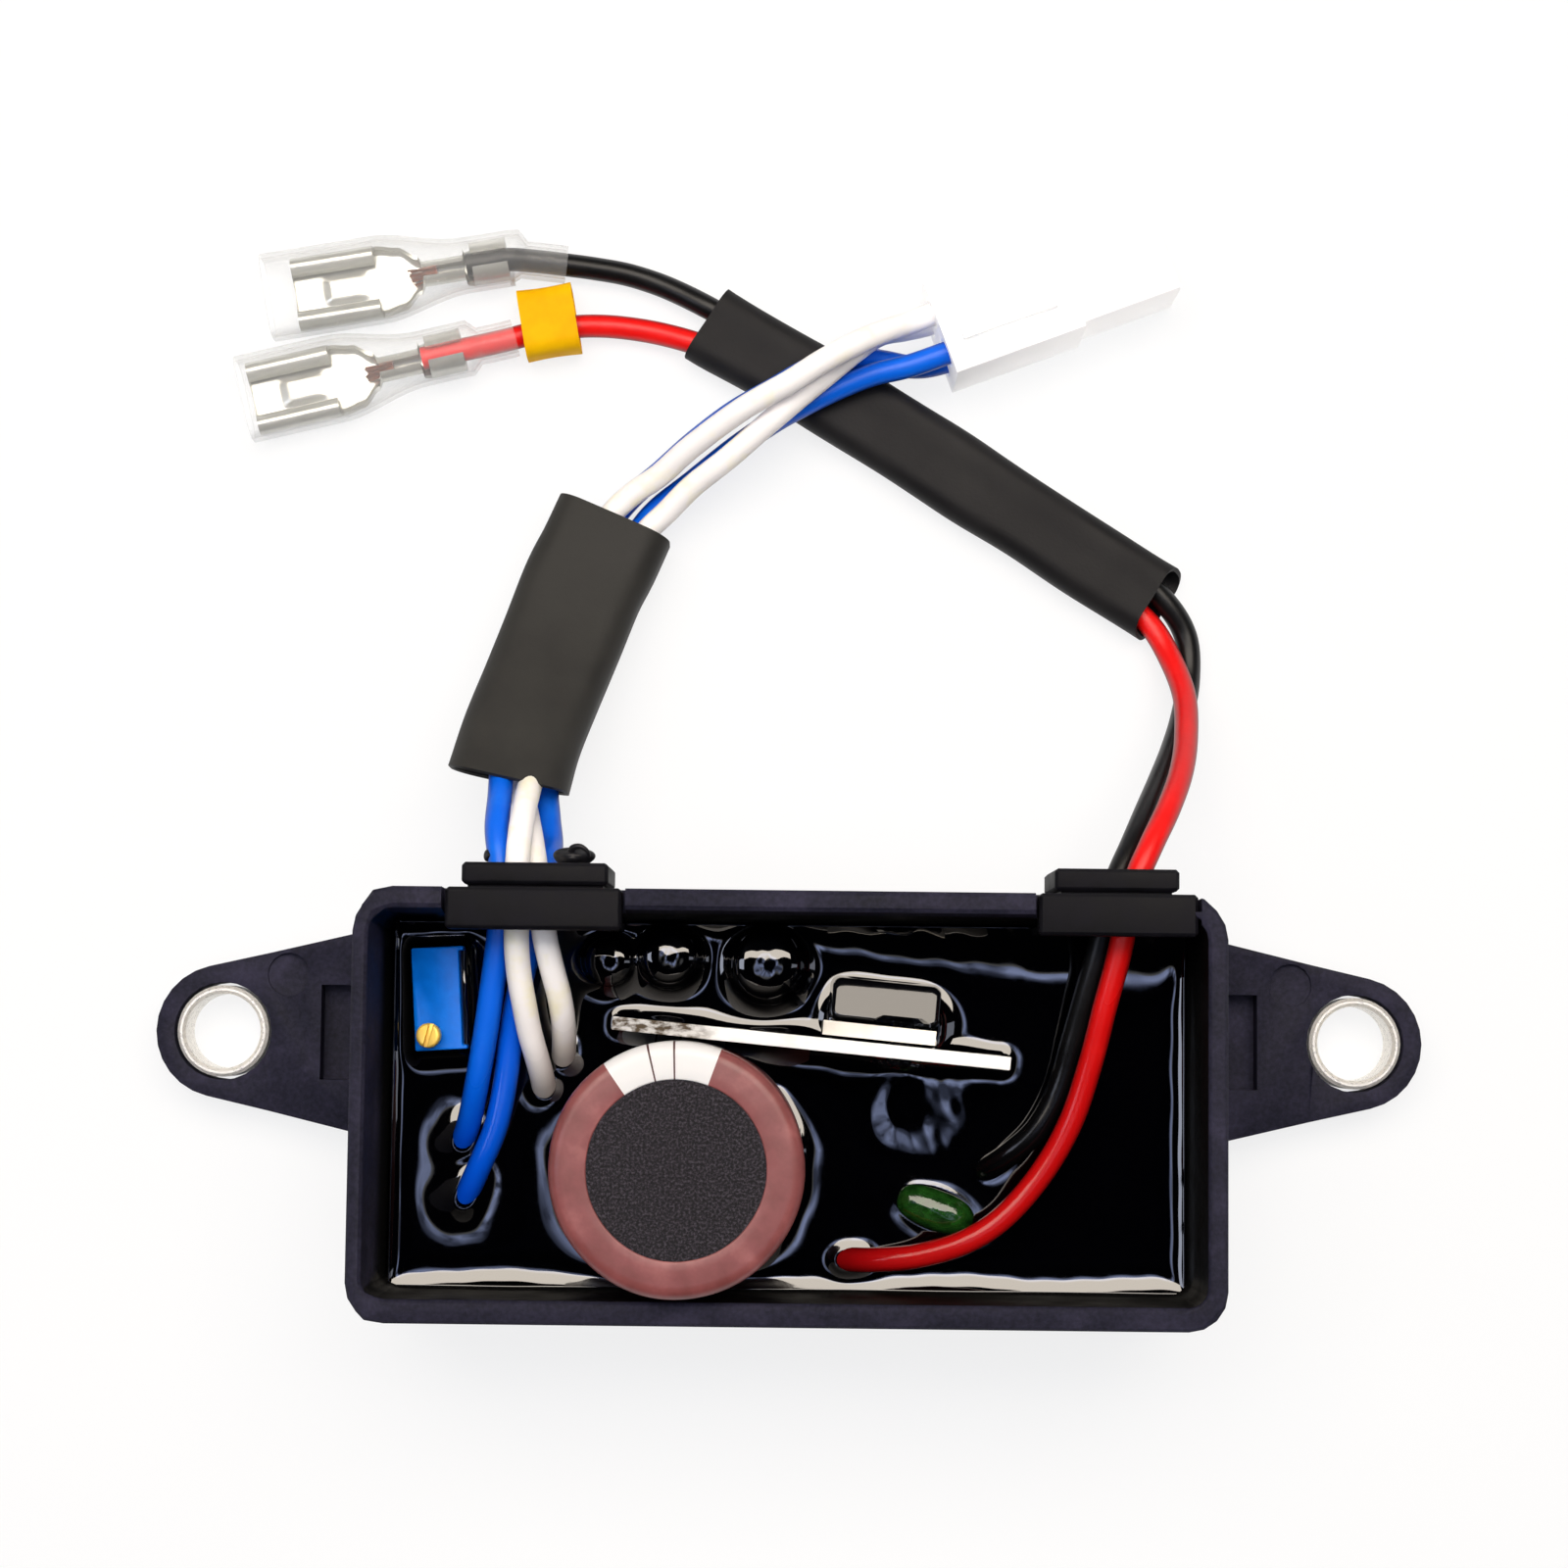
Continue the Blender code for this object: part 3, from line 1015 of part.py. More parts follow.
def make_grommet(side):
    """A grommet: cap over the rim, a flange on each side of the wall, and a slot for the leads."""
    middle, cap_width, waist_width, flange_width = grommet_sizes(side)
    slot_shift, slot_width, slot_top, slot_height = grommet_slot(side)
    wall_out = CASE_WIDTH / 2
    wall_in = wall_out - CASE_WALL - case_inset(GROMMET_LOW)
    inner_face = wall_in - GAP
    inner_start = inner_face - GROMMET_INNER_FLANGE
    cap_low = CASE_DEPTH - GROMMET_CAP_HEIGHT
    flange_start = wall_out + GAP
    flange_end = flange_start + GROMMET_OUTER_FLANGE
    half = cap_width / 2
    bevel = GROMMET_BEVEL
    body = block(f"grommet_{side}", (middle - half, inner_start, cap_low), (middle + half, wall_out, CASE_DEPTH),
                 "grommet_rubber", bevel=bevel)
    inner_low = (middle - half + bevel, inner_start + bevel, GROMMET_LOW)
    inner_high = (middle + half - bevel, inner_face, cap_low + GROMMET_CAP_HEIGHT / 2)
    inner = block(f"grommet_{side}_inner_tool", inner_low, inner_high, "grommet_rubber")
    waist = waist_width / 2
    waist_low = (middle - waist, inner_start + 2 * bevel, GROMMET_LOW + GAP)
    waist_high = (middle + waist, flange_end - 2 * bevel, cap_low + bevel)
    through = block(f"grommet_{side}_waist_tool", waist_low, waist_high, "grommet_rubber")
    flange = flange_width / 2
    outer = block(f"grommet_{side}_outer_tool",
                  (middle - flange, flange_start, GROMMET_LOW - GROMMET_FLANGE_LOW_LAP),
                  (middle + flange, flange_end, cap_low + GROMMET_FLANGE_LAP), "grommet_rubber", bevel=bevel)
    join(body, inner, through, outer)
    centre_x = middle + slot_shift
    centre_z = CASE_DEPTH - slot_top - slot_height / 2
    outline = rounded_outline(slot_width, slot_height, SLOT_ROUNDING, 3)
    rings = [[(centre_x + u, y, centre_z + v) for u, v in outline] for y in (0, CASE_WIDTH)]
    cut(body, loft(f"grommet_{side}_slot_tool", rings, "grommet_rubber"))
    return flange_end


def make_bead(name, place, radii, face):
    """A lump of sealant squeezed out against a grommet's outer face."""
    body = bmesh.new()
    bmesh.ops.create_icosphere(body, subdivisions=2, radius=1.0)
    middle = Vector((place[0], face + GAP + radii[1], place[1]))
    bmesh.ops.transform(body, matrix=Matrix.Translation(middle) @ Matrix.Diagonal((*radii, 1)), verts=body.verts)
    add_object(name, body, "sealant")


# Leads and sleeves

def make_lead(name, finish):
    """One insulated lead, as a round tube along its route."""
    curve = bpy.data.curves.new(name, "CURVE")
    curve.dimensions = "3D"
    curve.bevel_depth = LEAD_RADIUS
    curve.bevel_resolution = 2
    curve.use_fill_caps = True
    line = smooth_line(ROUTES[name], 3 * LEAD_DIAMETER)
    spline = curve.splines.new("POLY")
    spline.points.add(len(line) - 1)
    for point, place in zip(spline.points, line):
        point.co = (*place, 1.0)
    spline.use_smooth = True
    curve.materials.append(finish_material(finish))
    lead = bpy.data.objects.new(name, curve)
    bpy.context.scene.collection.objects.link(lead)


def make_sleeve(name, route, width, thickness, corner, spacing):
    """A flattened sleeve with open ends round several leads."""
    line = smooth_line(route, spacing)
    outer = rounded_outline(width, thickness, corner, 3)
    inner = rounded_outline(width - 2 * SLEEVE_WALL, thickness - 2 * SLEEVE_WALL, corner - SLEEVE_WALL, 3)
    hollow_along(name, line, [outer] * len(line), [inner] * len(line), "sleeve_black")


def make_marker():
    """The yellow marker: a short flattened tube, loose round the red lead."""
    ahead = Vector((math.cos(MARKER_TURN), math.sin(MARKER_TURN), 0)) * MARKER_LENGTH / 2
    line = [Vector(MARKER_PLACE) - ahead, Vector(MARKER_PLACE) + ahead]
    outer = rounded_outline(MARKER_WIDTH, MARKER_THICKNESS, MARKER_CORNER, 3)
    inner = rounded_outline(MARKER_WIDTH - 2 * MARKER_WALL, MARKER_THICKNESS - 2 * MARKER_WALL,
                            MARKER_CORNER - MARKER_WALL, 3)
    hollow_along("marker_tube", line, [outer] * 2, [inner] * 2, "marker_yellow")


# Terminals and boots

def strip_section(flat_half, roll_radius, roll_angle):
    """A sheet strip seen from its end: flat in the middle, its edges rolled up and over."""
    half_line = [(0.0, 0.0, 0.0), (flat_half, 0.0, 0.0)]
    steps = 5
    for step in range(1, steps + 1):
        angle = roll_angle * step / steps
        half_line.append((flat_half + roll_radius * math.sin(angle), roll_radius * (1 - math.cos(angle)), angle))
    line = [(-u, v, -angle) for u, v, angle in half_line[:0:-1]] + half_line
    lower = [(u + SHEET / 2 * math.sin(angle), v - SHEET / 2 * math.cos(angle)) for u, v, angle in line]
    upper = [(u - SHEET / 2 * math.sin(angle), v + SHEET / 2 * math.cos(angle)) for u, v, angle in line]
    return lower + upper[::-1]


def terminal_length():
    """From the middle of the insulation crimp to the tip."""
    return INSULATION_CRIMP_LENGTH / 2 + CRIMP_SPACING + CONDUCTOR_CRIMP_LENGTH + NECK_LENGTH + RECEPTACLE_LENGTH


def make_terminal(colour):
    """A push-on receptacle folded from one sheet: two crimps, a neck and rolled edges."""
    place, turn = TERMINAL_PLACES[colour]
    insulation_roll = LEAD_RADIUS + WIRE_GAP + SHEET / 2
    insulation = strip_section(LEAD_RADIUS / 4, insulation_roll, math.radians(150))
    between = strip_section(LEAD_RADIUS / 2, insulation_roll, math.radians(40))
    conductor = strip_section(CONDUCTOR_CRIMP_RADIUS / 6, CONDUCTOR_CRIMP_RADIUS, math.radians(165))
    opening = strip_section(CONDUCTOR_CRIMP_RADIUS, CONDUCTOR_CRIMP_RADIUS, math.radians(80))
    roll_half = TERMINAL_WIDTH / 2 - ROLL_RADIUS - SHEET / 2
    neck = strip_section(NECK_WIDTH / 2, ROLL_RADIUS, math.radians(70))
    shoulder = strip_section(roll_half, ROLL_RADIUS, math.radians(75))
    rolled = strip_section(roll_half, ROLL_RADIUS, ROLL_ANGLE)
    start = -INSULATION_CRIMP_LENGTH / 2
    conductor_start = -start + CRIMP_SPACING
    neck_start = conductor_start + CONDUCTOR_CRIMP_LENGTH
    receptacle_start = neck_start + NECK_LENGTH
    stations = [
        (start, insulation), (-start, insulation), (-start + SHEET / 2, between),
        (conductor_start - SHEET / 2, between), (conductor_start, conductor), (neck_start, conductor),
        (neck_start + SHEET, opening), (neck_start + NECK_LENGTH / 2, neck),
        (receptacle_start - SHEET / 2, shoulder), (receptacle_start, rolled), (terminal_length(), rolled),
    ]
    base = TERMINAL_CLEAR + SHEET / 2
    rings = [[(along, u, base + v) for u, v in section] for along, section in stations]
    terminal = loft(f"spade_terminal_{colour}", rings, "terminal_tin")
    terminal.location = (*place, 0)
    terminal.rotation_euler = (0, 0, turn)


def make_boot(colour):
    """A clear boot: a tapering tube from past the terminal's tip back over the lead."""
    place, turn = TERMINAL_PLACES[colour]
    ahead = Vector((math.cos(turn), math.sin(turn), 0))
    crimp = Vector((*place, CRIMP_AXIS_HEIGHT))
    neck = LEAD_DIAMETER + 2 * (WIRE_GAP + BOOT_WALL)
    waist_reach = 0.7 * INSULATION_CRIMP_LENGTH
    mouth_drop = Vector((0, 0, BOOT_MOUTH_THICKNESS / 2 + GAP / 2 - CRIMP_AXIS_HEIGHT))
    shoulder = crimp + ahead * (terminal_length() - RECEPTACLE_LENGTH) + mouth_drop
    mouth = crimp + ahead * (terminal_length() + BOOT_PAST_TIP) + mouth_drop
    stations = []
    for point in smooth_line(ROUTES[f"lead_{colour}"][-8:], LEAD_DIAMETER):
        if INSULATION_CRIMP_LENGTH < -(point - crimp).dot(ahead) < BOOT_NECK_REACH[colour]:
            stations.append((point, neck, neck, 0.48 * neck))
    for point in (crimp - ahead * waist_reach, crimp + ahead * waist_reach):
        stations.append((point, BOOT_WAIST_WIDTH, BOOT_WAIST_THICKNESS, 0.45 * BOOT_WAIST_THICKNESS))
    for point in (shoulder, mouth):
        stations.append((point, BOOT_MOUTH_WIDTH, BOOT_MOUTH_THICKNESS, BOOT_MOUTH_CORNER))
    line = [point for point, *_ in stations]
    outer = [rounded_outline(width, height, corner, 3) for _, width, height, corner in stations]
    wall = BOOT_WALL
    inner = [rounded_outline(width - 2 * wall, height - 2 * wall, corner - wall, 3)
             for _, width, height, corner in stations]
    hollow_along(f"boot_{colour}", line, outer, inner, "boot_clear")


# Plug

def plug_rows():
    """The four cavities, as (across, height), numbered from the top left seen from the rear."""
    step = PLUG_PITCH / 2
    middle = PLUG_SIDE / 2
    return [(step, middle + step), (-step, middle + step), (step, middle - step), (-step, middle - step)]


def make_plug(carrier):
    """The four-way housing: a square body, a narrower nose, four cavities and a latch arm."""
    middle = PLUG_SIDE / 2
    length = PLUG_BODY_LENGTH + PLUG_NOSE_LENGTH
    nose_side = PLUG_SIDE - 2 * PLUG_NOSE_STEP
    stations = [
        (0, PLUG_SIDE), (PLUG_BODY_LENGTH, PLUG_SIDE), (PLUG_BODY_LENGTH, nose_side), (length, nose_side),
    ]
    rings = []
    for along, side in stations:
        rings.append([(along, u, middle + v) for u, v in rounded_outline(side, side, PLUG_NOSE_STEP, 2)])
    housing = loft("plug_housing", rings, "plug_nylon", parent=carrier)
    for number, (across, height) in enumerate(plug_rows()):
        outline = round_outline(PLUG_CAVITY_RADIUS, SMALL_TURN)
        bore = [[(along, across + u, height + v) for u, v in outline] for along in (-middle, length + middle)]
        cut(housing, loft(f"cavity_{number}_tool", bore, "plug_nylon", parent=carrier))
    thick = PLUG_LATCH_THICKNESS
    root = 0.85 * PLUG_BODY_LENGTH
    free = 0.12 * PLUG_BODY_LENGTH
    top = PLUG_SIDE
    arm = [
        (root, top - thick), (root, top + PLUG_LATCH_RISE), (free, top + PLUG_LATCH_RISE + thick / 2),
        (free, top + PLUG_LATCH_RISE - thick / 2), (root - 2 * thick, top + PLUG_LATCH_RISE - thick),
        (root - 2 * thick, top - thick),
    ]
    sides = (-PLUG_LATCH_WIDTH / 2, PLUG_LATCH_WIDTH / 2)
    latch_rings = [[(x, y, z) for x, z in arm] for y in sides]
    join(housing, loft("latch_tool", latch_rings, "plug_nylon", parent=carrier))


def make_contact(number, across, height, carrier):
    """A crimped socket contact inside its cavity."""
    start = PLUG_WIRE_DEPTH + GAP
    end = PLUG_BODY_LENGTH + PLUG_NOSE_LENGTH - PLUG_NOSE_STEP
    outer = PLUG_CAVITY_RADIUS - GAP
    bore = CONTACT_BORE / 2
    bore_start = end - CONTACT_BORE_DEPTH
    stations = [(start, 0.8 * outer), (start + outer, outer), (end, outer), (end, bore), (bore_start, bore)]
    rings = []
    for along, radius in stations:
        section = oval_outline(2 * radius, 2 * radius, CHANNEL_TURN)
        rings.append([(along, across + u, height + v) for u, v in section])
    loft(f"plug_contact_{number}", rings, "terminal_tin", parent=carrier)


def main():
    for old in list(bpy.data.objects):
        bpy.data.objects.remove(old, do_unlink=True)
    make_housing()
    make_bush("bush_left", -1)
    make_bush("bush_right", 1)
    make_board()
    make_capacitor()
    plate = plate_carrier()
    make_heatsink(plate)
    trimmer = trimmer_carrier()
    make_trimmer(trimmer)
    make_screw(trimmer)
    for name, along, below, radius, height in SMALL_CAPACITORS:
        make_small_capacitor(name, small_capacitor_place(along, below), radius, height)
    make_film_capacitor()
    make_rectifier()
    cut_resin_spaces(make_resin(), plate, trimmer)
    outer_face = make_grommet("left")
    make_grommet("right")
    left_middle = grommet_sizes("left")[0]
    for name, along, below, radii in SEALANT_BEADS:
        make_bead(name, (left_middle + along, CASE_DEPTH - below), radii, outer_face)
    for name in ROUTES:
        colour = name.replace("sense", "lead").rstrip("_12")
        make_lead(name, colour)
    make_sleeve("long_sleeve", LONG_SLEEVE_LINE, LONG_SLEEVE_WIDTH, LONG_SLEEVE_THICKNESS,
                LONG_SLEEVE_THICKNESS / 2 - GAP, 4 * LEAD_DIAMETER)
    make_sleeve("short_sleeve", SHORT_SLEEVE_LINE, SHORT_SLEEVE_WIDTH, SHORT_SLEEVE_THICKNESS,
                SHORT_SLEEVE_CORNER, 3 * LEAD_DIAMETER)
    make_marker()
    for colour in TERMINAL_PLACES:
        make_terminal(colour)
        make_boot(colour)
    plug = add_empty("plug_carrier", (*PLUG_PLACE, 0), PLUG_TURN)
    make_plug(plug)
    for number, (across, height) in enumerate(plug_rows(), start=1):
        make_contact(number, across, height, plug)


main()
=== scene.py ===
# %% [markdown]
# # Automatic voltage regulator
# A small generator's regulator lies on its back. A black moulded case, filled with black potting
# resin, holds the parts, and six leads leave it through two grommets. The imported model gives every
# piece its place. This lesson gives the pieces their finish, and builds finer surfaces where the
# plain solids are too coarse for a close look.

import math

import bmesh
import bpy
import numpy as np
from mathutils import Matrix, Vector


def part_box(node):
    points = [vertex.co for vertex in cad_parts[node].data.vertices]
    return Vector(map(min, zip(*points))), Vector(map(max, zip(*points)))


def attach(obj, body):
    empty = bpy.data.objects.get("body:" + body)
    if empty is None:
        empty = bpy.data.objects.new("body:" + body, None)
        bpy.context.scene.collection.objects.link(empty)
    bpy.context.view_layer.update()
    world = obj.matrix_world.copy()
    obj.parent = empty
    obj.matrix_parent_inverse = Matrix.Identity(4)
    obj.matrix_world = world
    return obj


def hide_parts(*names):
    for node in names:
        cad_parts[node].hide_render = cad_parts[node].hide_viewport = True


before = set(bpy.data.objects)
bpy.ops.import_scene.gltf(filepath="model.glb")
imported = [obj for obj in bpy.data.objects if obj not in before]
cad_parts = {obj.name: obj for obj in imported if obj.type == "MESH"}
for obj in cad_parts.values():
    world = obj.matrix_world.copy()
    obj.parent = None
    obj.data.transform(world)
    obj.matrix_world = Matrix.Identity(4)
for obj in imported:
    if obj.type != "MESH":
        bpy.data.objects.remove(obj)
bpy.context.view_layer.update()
MM = 0.001
print("pieces in the frame:", len(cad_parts))

# %% [markdown]
# ## Camera
# The photograph looks almost straight down from about 30 cm, with a slight lean and turn. The case
# walls show how far the camera stands from each side, so its place is worked out from them.

# %% Camera
camera_data = bpy.data.cameras.new("photo_camera")
camera_data.lens = 70
camera_data.sensor_width = 36
camera_data.clip_start = 0.01
camera = bpy.data.objects.new("photo_camera", camera_data)
camera.location = (-0.48 * MM, 7.68 * MM, 300 * MM)
camera.rotation_euler = (math.radians(4.5), 0, math.radians(0.65))
scene = bpy.context.scene
scene.collection.objects.link(camera)
scene.camera = camera
scene.view_settings.view_transform = "Standard"
print("camera at", [round(value, 4) for value in camera.location])

# %% [markdown]
# ## Node helper and colours
# One function adds a shader node, sets it and links it. Colours are written as sRGB hex, as a paint
# chart gives them, and one function turns them into the linear light that the renderer works in.


# %% Node helper and colours
def add_node(tree, kind, inputs=None, output=None, **settings):
    """Add a node; each input is a value or a socket. Gives the named output, or else the node."""
    node = tree.nodes.new("ShaderNode" + kind)
    for name, value in settings.items():
        setattr(node, name, value)
    for name, value in (inputs or {}).items():
        if isinstance(value, bpy.types.NodeSocket):
            tree.links.new(value, node.inputs[name])
        else:
            node.inputs[name].default_value = value
    return node.outputs[output] if output else node


def hex_colour(text):
    """sRGB hex as linear light: c / 12.92 below 0.04045, else ((c + 0.055) / 1.055) ** 2.4."""
    channels = [int(text[i:i + 2], 16) / 255 for i in (1, 3, 5)]
    linear = [c / 12.92 if c <= 0.04045 else ((c + 0.055) / 1.055) ** 2.4 for c in channels]
    return (*linear, 1.0)


def new_material(name, colour, roughness, metallic=0.0, **sockets):
    """A Principled material with its plain values set on the shader's own sockets."""
    material = bpy.data.materials.new(name)
    material.use_nodes = True
    shader = material.node_tree.nodes["Principled BSDF"]
    shader.inputs["Base Color"].default_value = hex_colour(colour)
    shader.inputs["Roughness"].default_value = roughness
    shader.inputs["Metallic"].default_value = metallic
    for socket, value in sockets.items():
        shader.inputs[socket.replace("_", " ")].default_value = value
    return material, material.node_tree, shader


def feed(tree, shader, **sources):
    """Link each source to the shader's input of the same name."""
    for socket, source in sources.items():
        tree.links.new(source, shader.inputs[socket.replace("_", " ")])


def place_of(tree, centre=(0, 0, 0), stretch=(1, 1, 1)):
    """Object coordinates, moved so that the centre is at 0 and stretched along each axis."""
    source = add_node(tree, "TexCoord", output="Object")
    moved = [-c * s for c, s in zip(centre, stretch)]
    return add_node(tree, "Mapping", {
        "Vector": source, "Location": moved, "Scale": stretch}, "Vector")


def noise(tree, vector, millimetres, detail=4.0, roughness=0.55):
    """A noise whose features are about this wide."""
    return add_node(tree, "TexNoise", {
        "Vector": vector, "Scale": 1 / (millimetres * MM), "Detail": detail,
        "Roughness": roughness}, "Fac")


def ramp(tree, factor, stops):
    """A colour ramp from (position, hex) pairs."""
    node = add_node(tree, "ValToRGB", {"Fac": factor})
    elements = node.color_ramp.elements
    while len(elements) < len(stops):
        elements.new(0.5)
    for element, (position, colour) in zip(elements, stops):
        element.position = position
        element.color = hex_colour(colour)
    return node.outputs["Color"]


def spread(tree, factor, low, high, start=0.3, end=0.7):
    """Stretch a factor between start and end to a value between low and high."""
    return add_node(tree, "MapRange", {
        "Value": factor, "From Min": start, "From Max": end,
        "To Min": low, "To Max": high}, "Result")


def roughen(tree, shader, height, depth_mm, strength=1.0):
    """Give the shader a bump of this depth in millimetres."""
    bump = {"Height": height, "Distance": depth_mm * MM, "Strength": strength}
    feed(tree, shader, Normal=add_node(tree, "Bump", bump, "Normal"))


print("white is", hex_colour("#ffffff"))

# %% [markdown]
# ## Studio
# The object lies on a white table. Wet resin is a black mirror, so what stands round it matters
# more than how bright it is: a cream softbox behind, a cooler one on the left, a thin bright ring
# where the tent opens for the lens, and darkness straight above. The camera and clear plastic see
# plain white behind the object, and the floor still takes its shadow.


# %% Lamps
def add_softbox(name, place, size, power, colour, aim=(0, 0.02, 0.01)):
    """A rectangular lamp that faces the object."""
    lamp = bpy.data.lights.new(name, "AREA")
    lamp.shape = "RECTANGLE"
    lamp.size, lamp.size_y = size
    lamp.energy = power
    lamp.color = hex_colour(colour)[:3]
    holder = bpy.data.objects.new(name, lamp)
    holder.location = place
    way = holder.location - type(holder.location)(aim)
    holder.rotation_euler = way.to_track_quat("Z", "Y").to_euler()
    scene.collection.objects.link(holder)
    return holder


top_lamp = add_softbox("top_lamp", (0.0, 0.02, 0.75), (0.5, 0.5), 2.0, "#fdfdff")
top_lamp.visible_glossy = False
add_softbox("back_softbox", (0.0, 0.22, 0.49), (0.62, 0.27), 2.9, "#fff4e6")
add_softbox("left_softbox", (-0.34, 0.02, 0.40), (0.14, 0.20), 0.30, "#dfe6fb")
add_softbox("right_softbox", (0.40, 0.00, 0.34), (0.05, 0.36), 0.07, "#e6ecff")

# %% World
# The height runs from 0 straight down to 1 straight up. The ring lies between 0.984 and 0.991,
# about 11 to 14 degrees from straight up, and is uneven round the lens as a tent's mouth is.
world = bpy.data.worlds.new("studio")
world.use_nodes = True
scene.world = world
tree = world.node_tree
background = tree.nodes["Background"]
direction = add_node(tree, "TexCoord", output="Generated")
upward = add_node(tree, "SeparateXYZ", {"Vector": direction}, "Z")
height = spread(tree, upward, 0.0, 1.0, -1.0, 1.0)
tent = ramp(tree, height, [
    (0.0, "#e8e8ea"), (0.5, "#c4c7cf"), (0.60, "#3c3f46"), (0.72, "#0c0d0f"), (0.9838, "#030304"),
    (0.9845, "#ffffff"), (0.9905, "#ffffff"), (0.9912, "#030304")])
patches = noise(tree, direction, 120.0, 3.0)
ring_light = spread(tree, patches, 0.5, 3.6, 0.38, 0.62)
ring_colour = add_node(tree, "Mix", {"Factor": 1.0, "A": (0.42, 0.50, 0.82, 1), "B": ring_light},
                       "Result", data_type="RGBA", blend_type="MULTIPLY")
in_ring = spread(tree, height, 0.0, 1.0, 0.9830, 0.9838)
ringed = add_node(tree, "Mix", {"Factor": in_ring, "A": tent, "B": ring_colour}, "Result",
                  data_type="RGBA", blend_type="MULTIPLY")
to_camera = add_node(tree, "LightPath", output="Is Camera Ray")
seen = add_node(tree, "Mix", {"Factor": to_camera, "A": ringed, "B": (1, 1, 1, 1)}, "Result",
                data_type="RGBA")
tree.links.new(seen, background.inputs["Color"])
background.inputs["Strength"].default_value = 1.0
print("nodes in the world:", len(tree.nodes))

# %% Floor
FLOOR_SIZE = 3.0
FLOOR_GLOW = 0.80
bpy.ops.mesh.primitive_plane_add(size=FLOOR_SIZE, location=(0, 0.03, -0.1 * MM))
floor = bpy.context.object
floor.name = "floor"
floor_material, tree, shader = new_material("white_table", "#f4f4f4", 0.9, Specular_IOR_Level=0.0)
rays = add_node(tree, "LightPath")
sees = rays.outputs["Is Camera Ray"]
for other in ("Is Glossy Ray", "Is Transmission Ray"):
    sees = add_node(tree, "Math", {0: sees, 1: rays.outputs[other]}, "Value", operation="MAXIMUM")
share = add_node(tree, "Math", {0: sees, 1: FLOOR_GLOW}, "Value", operation="MULTIPLY")
glow = add_node(tree, "Emission", {"Color": (1, 1, 1, 1), "Strength": 1.0}, "Emission")
mixed = add_node(tree, "MixShader", {0: share, 1: shader.outputs["BSDF"], 2: glow}, "Shader")
output = next(node for node in tree.nodes if node.type == "OUTPUT_MATERIAL")
tree.links.new(mixed, output.inputs["Surface"])
floor.data.materials.append(floor_material)
print("floor:", FLOOR_SIZE, "m wide")

# %% [markdown]
# ## Finishes of the case and its fittings
# The case is nylon filled with glass fibre, moulded against a spark-eroded steel tool. That gives a
# matt charcoal skin with a fine grain, a little cloudier where the melt cooled last. The grommets
# are softer and smoother. The bushes are turned steel.


# %% Case, grommet and bush finishes
def shades(dark, light):
    """Ramp stops from the lows to the highs of a noise."""
    return [(0.3, dark), (0.7, light)]


def make_clouded_finish(name, roughness, cloud, stops, gloss=None, grain=None, depth_mm=0.012,
                        strength=1.0, **sockets):
    """A finish whose colour follows a slow cloud and whose skin has a fine grain.

    Cloud and grain give a noise's width in mm, detail and roughness. Without a grain, the cloud
    lifts the skin. The gloss is the roughness at the cloud's lows and at its highs.
    """
    material, tree, shader = new_material(name, stops[-1][1], roughness, **sockets)
    place = place_of(tree)
    cloud = noise(tree, place, *cloud)
    feed(tree, shader, Base_Color=ramp(tree, cloud, stops))
    if gloss:
        feed(tree, shader, Roughness=spread(tree, cloud, *gloss))
    roughen(tree, shader, noise(tree, place, *grain) if grain else cloud, depth_mm, strength)
    return material


def make_case_finish():
    """Flecked charcoal nylon; on the inner faces, below the rim, it is painted black as painted
    shade.
    """
    material, tree, shader = new_material("moulded_glass_nylon", "#1b1b26", 0.6, IOR=1.53,
                                          Specular_IOR_Level=0.12)
    place = place_of(tree)
    cloud = noise(tree, place, 5.0, 5.0)
    grain = noise(tree, place, 0.45, 3.0, 0.6)
    colour = ramp(tree, cloud, [(0.30, "#181822"), (0.52, "#21202c"), (0.72, "#302e3e")])
    fleck = ramp(tree, grain, [(0.35, "#000000"), (0.72, "#323146")])
    flecked = add_node(tree, "Mix", {"Factor": 0.3, "A": colour, "B": fleck}, "Result",
                       data_type="RGBA", blend_type="ADD")
    axes = add_node(tree, "SeparateXYZ", {"Vector": place})
    # Inside the case and below the rim the colour goes to black: painted shade.
    inside = spread(tree, axes.outputs["Z"], 1.0, 0.0, 27.6 * MM, 27.8 * MM)
    for axis, reach in (("X", 37.5), ("Y", 17.5)):
        size = add_node(tree, "Math", {0: axes.outputs[axis]}, "Value", operation="ABSOLUTE")
        within = spread(tree, size, 1.0, 0.0, (reach - 0.1) * MM, reach * MM)
        inside = add_node(tree, "Math", {0: inside, 1: within}, "Value", operation="MULTIPLY")
    shaded_walls = add_node(tree, "Mix", {"Factor": inside, "A": flecked, "B": hex_colour("#010101")},
                     "Result", data_type="RGBA")
    feed(tree, shader, Base_Color=shaded_walls, Roughness=spread(tree, cloud, 0.52, 0.70))
    roughen(tree, shader, grain, 0.035)
    return material


def make_bush_finish():
    """Steel with the fine rings that a lathe tool leaves, set close together along the axis."""
    material, tree, shader = new_material("turned_steel", "#f4f1ea", 0.3, 0.4)
    rings = noise(tree, place_of(tree, stretch=(1, 1, 8)), 0.6, 3.0)
    feed(tree, shader, Roughness=spread(tree, rings, 0.22, 0.4))
    roughen(tree, shader, rings, 0.006)
    return material


case_finish = make_case_finish()
grommet_finish = make_clouded_finish(
    "moulded_grommet_rubber", 0.6, (2.5, 4.0), shades("#09090c", "#121117"), (0.5, 0.65), (0.25,),
    IOR=1.5, Specular_IOR_Level=0.15)
bush_finish = make_bush_finish()
print("finishes:", len(bpy.data.materials))

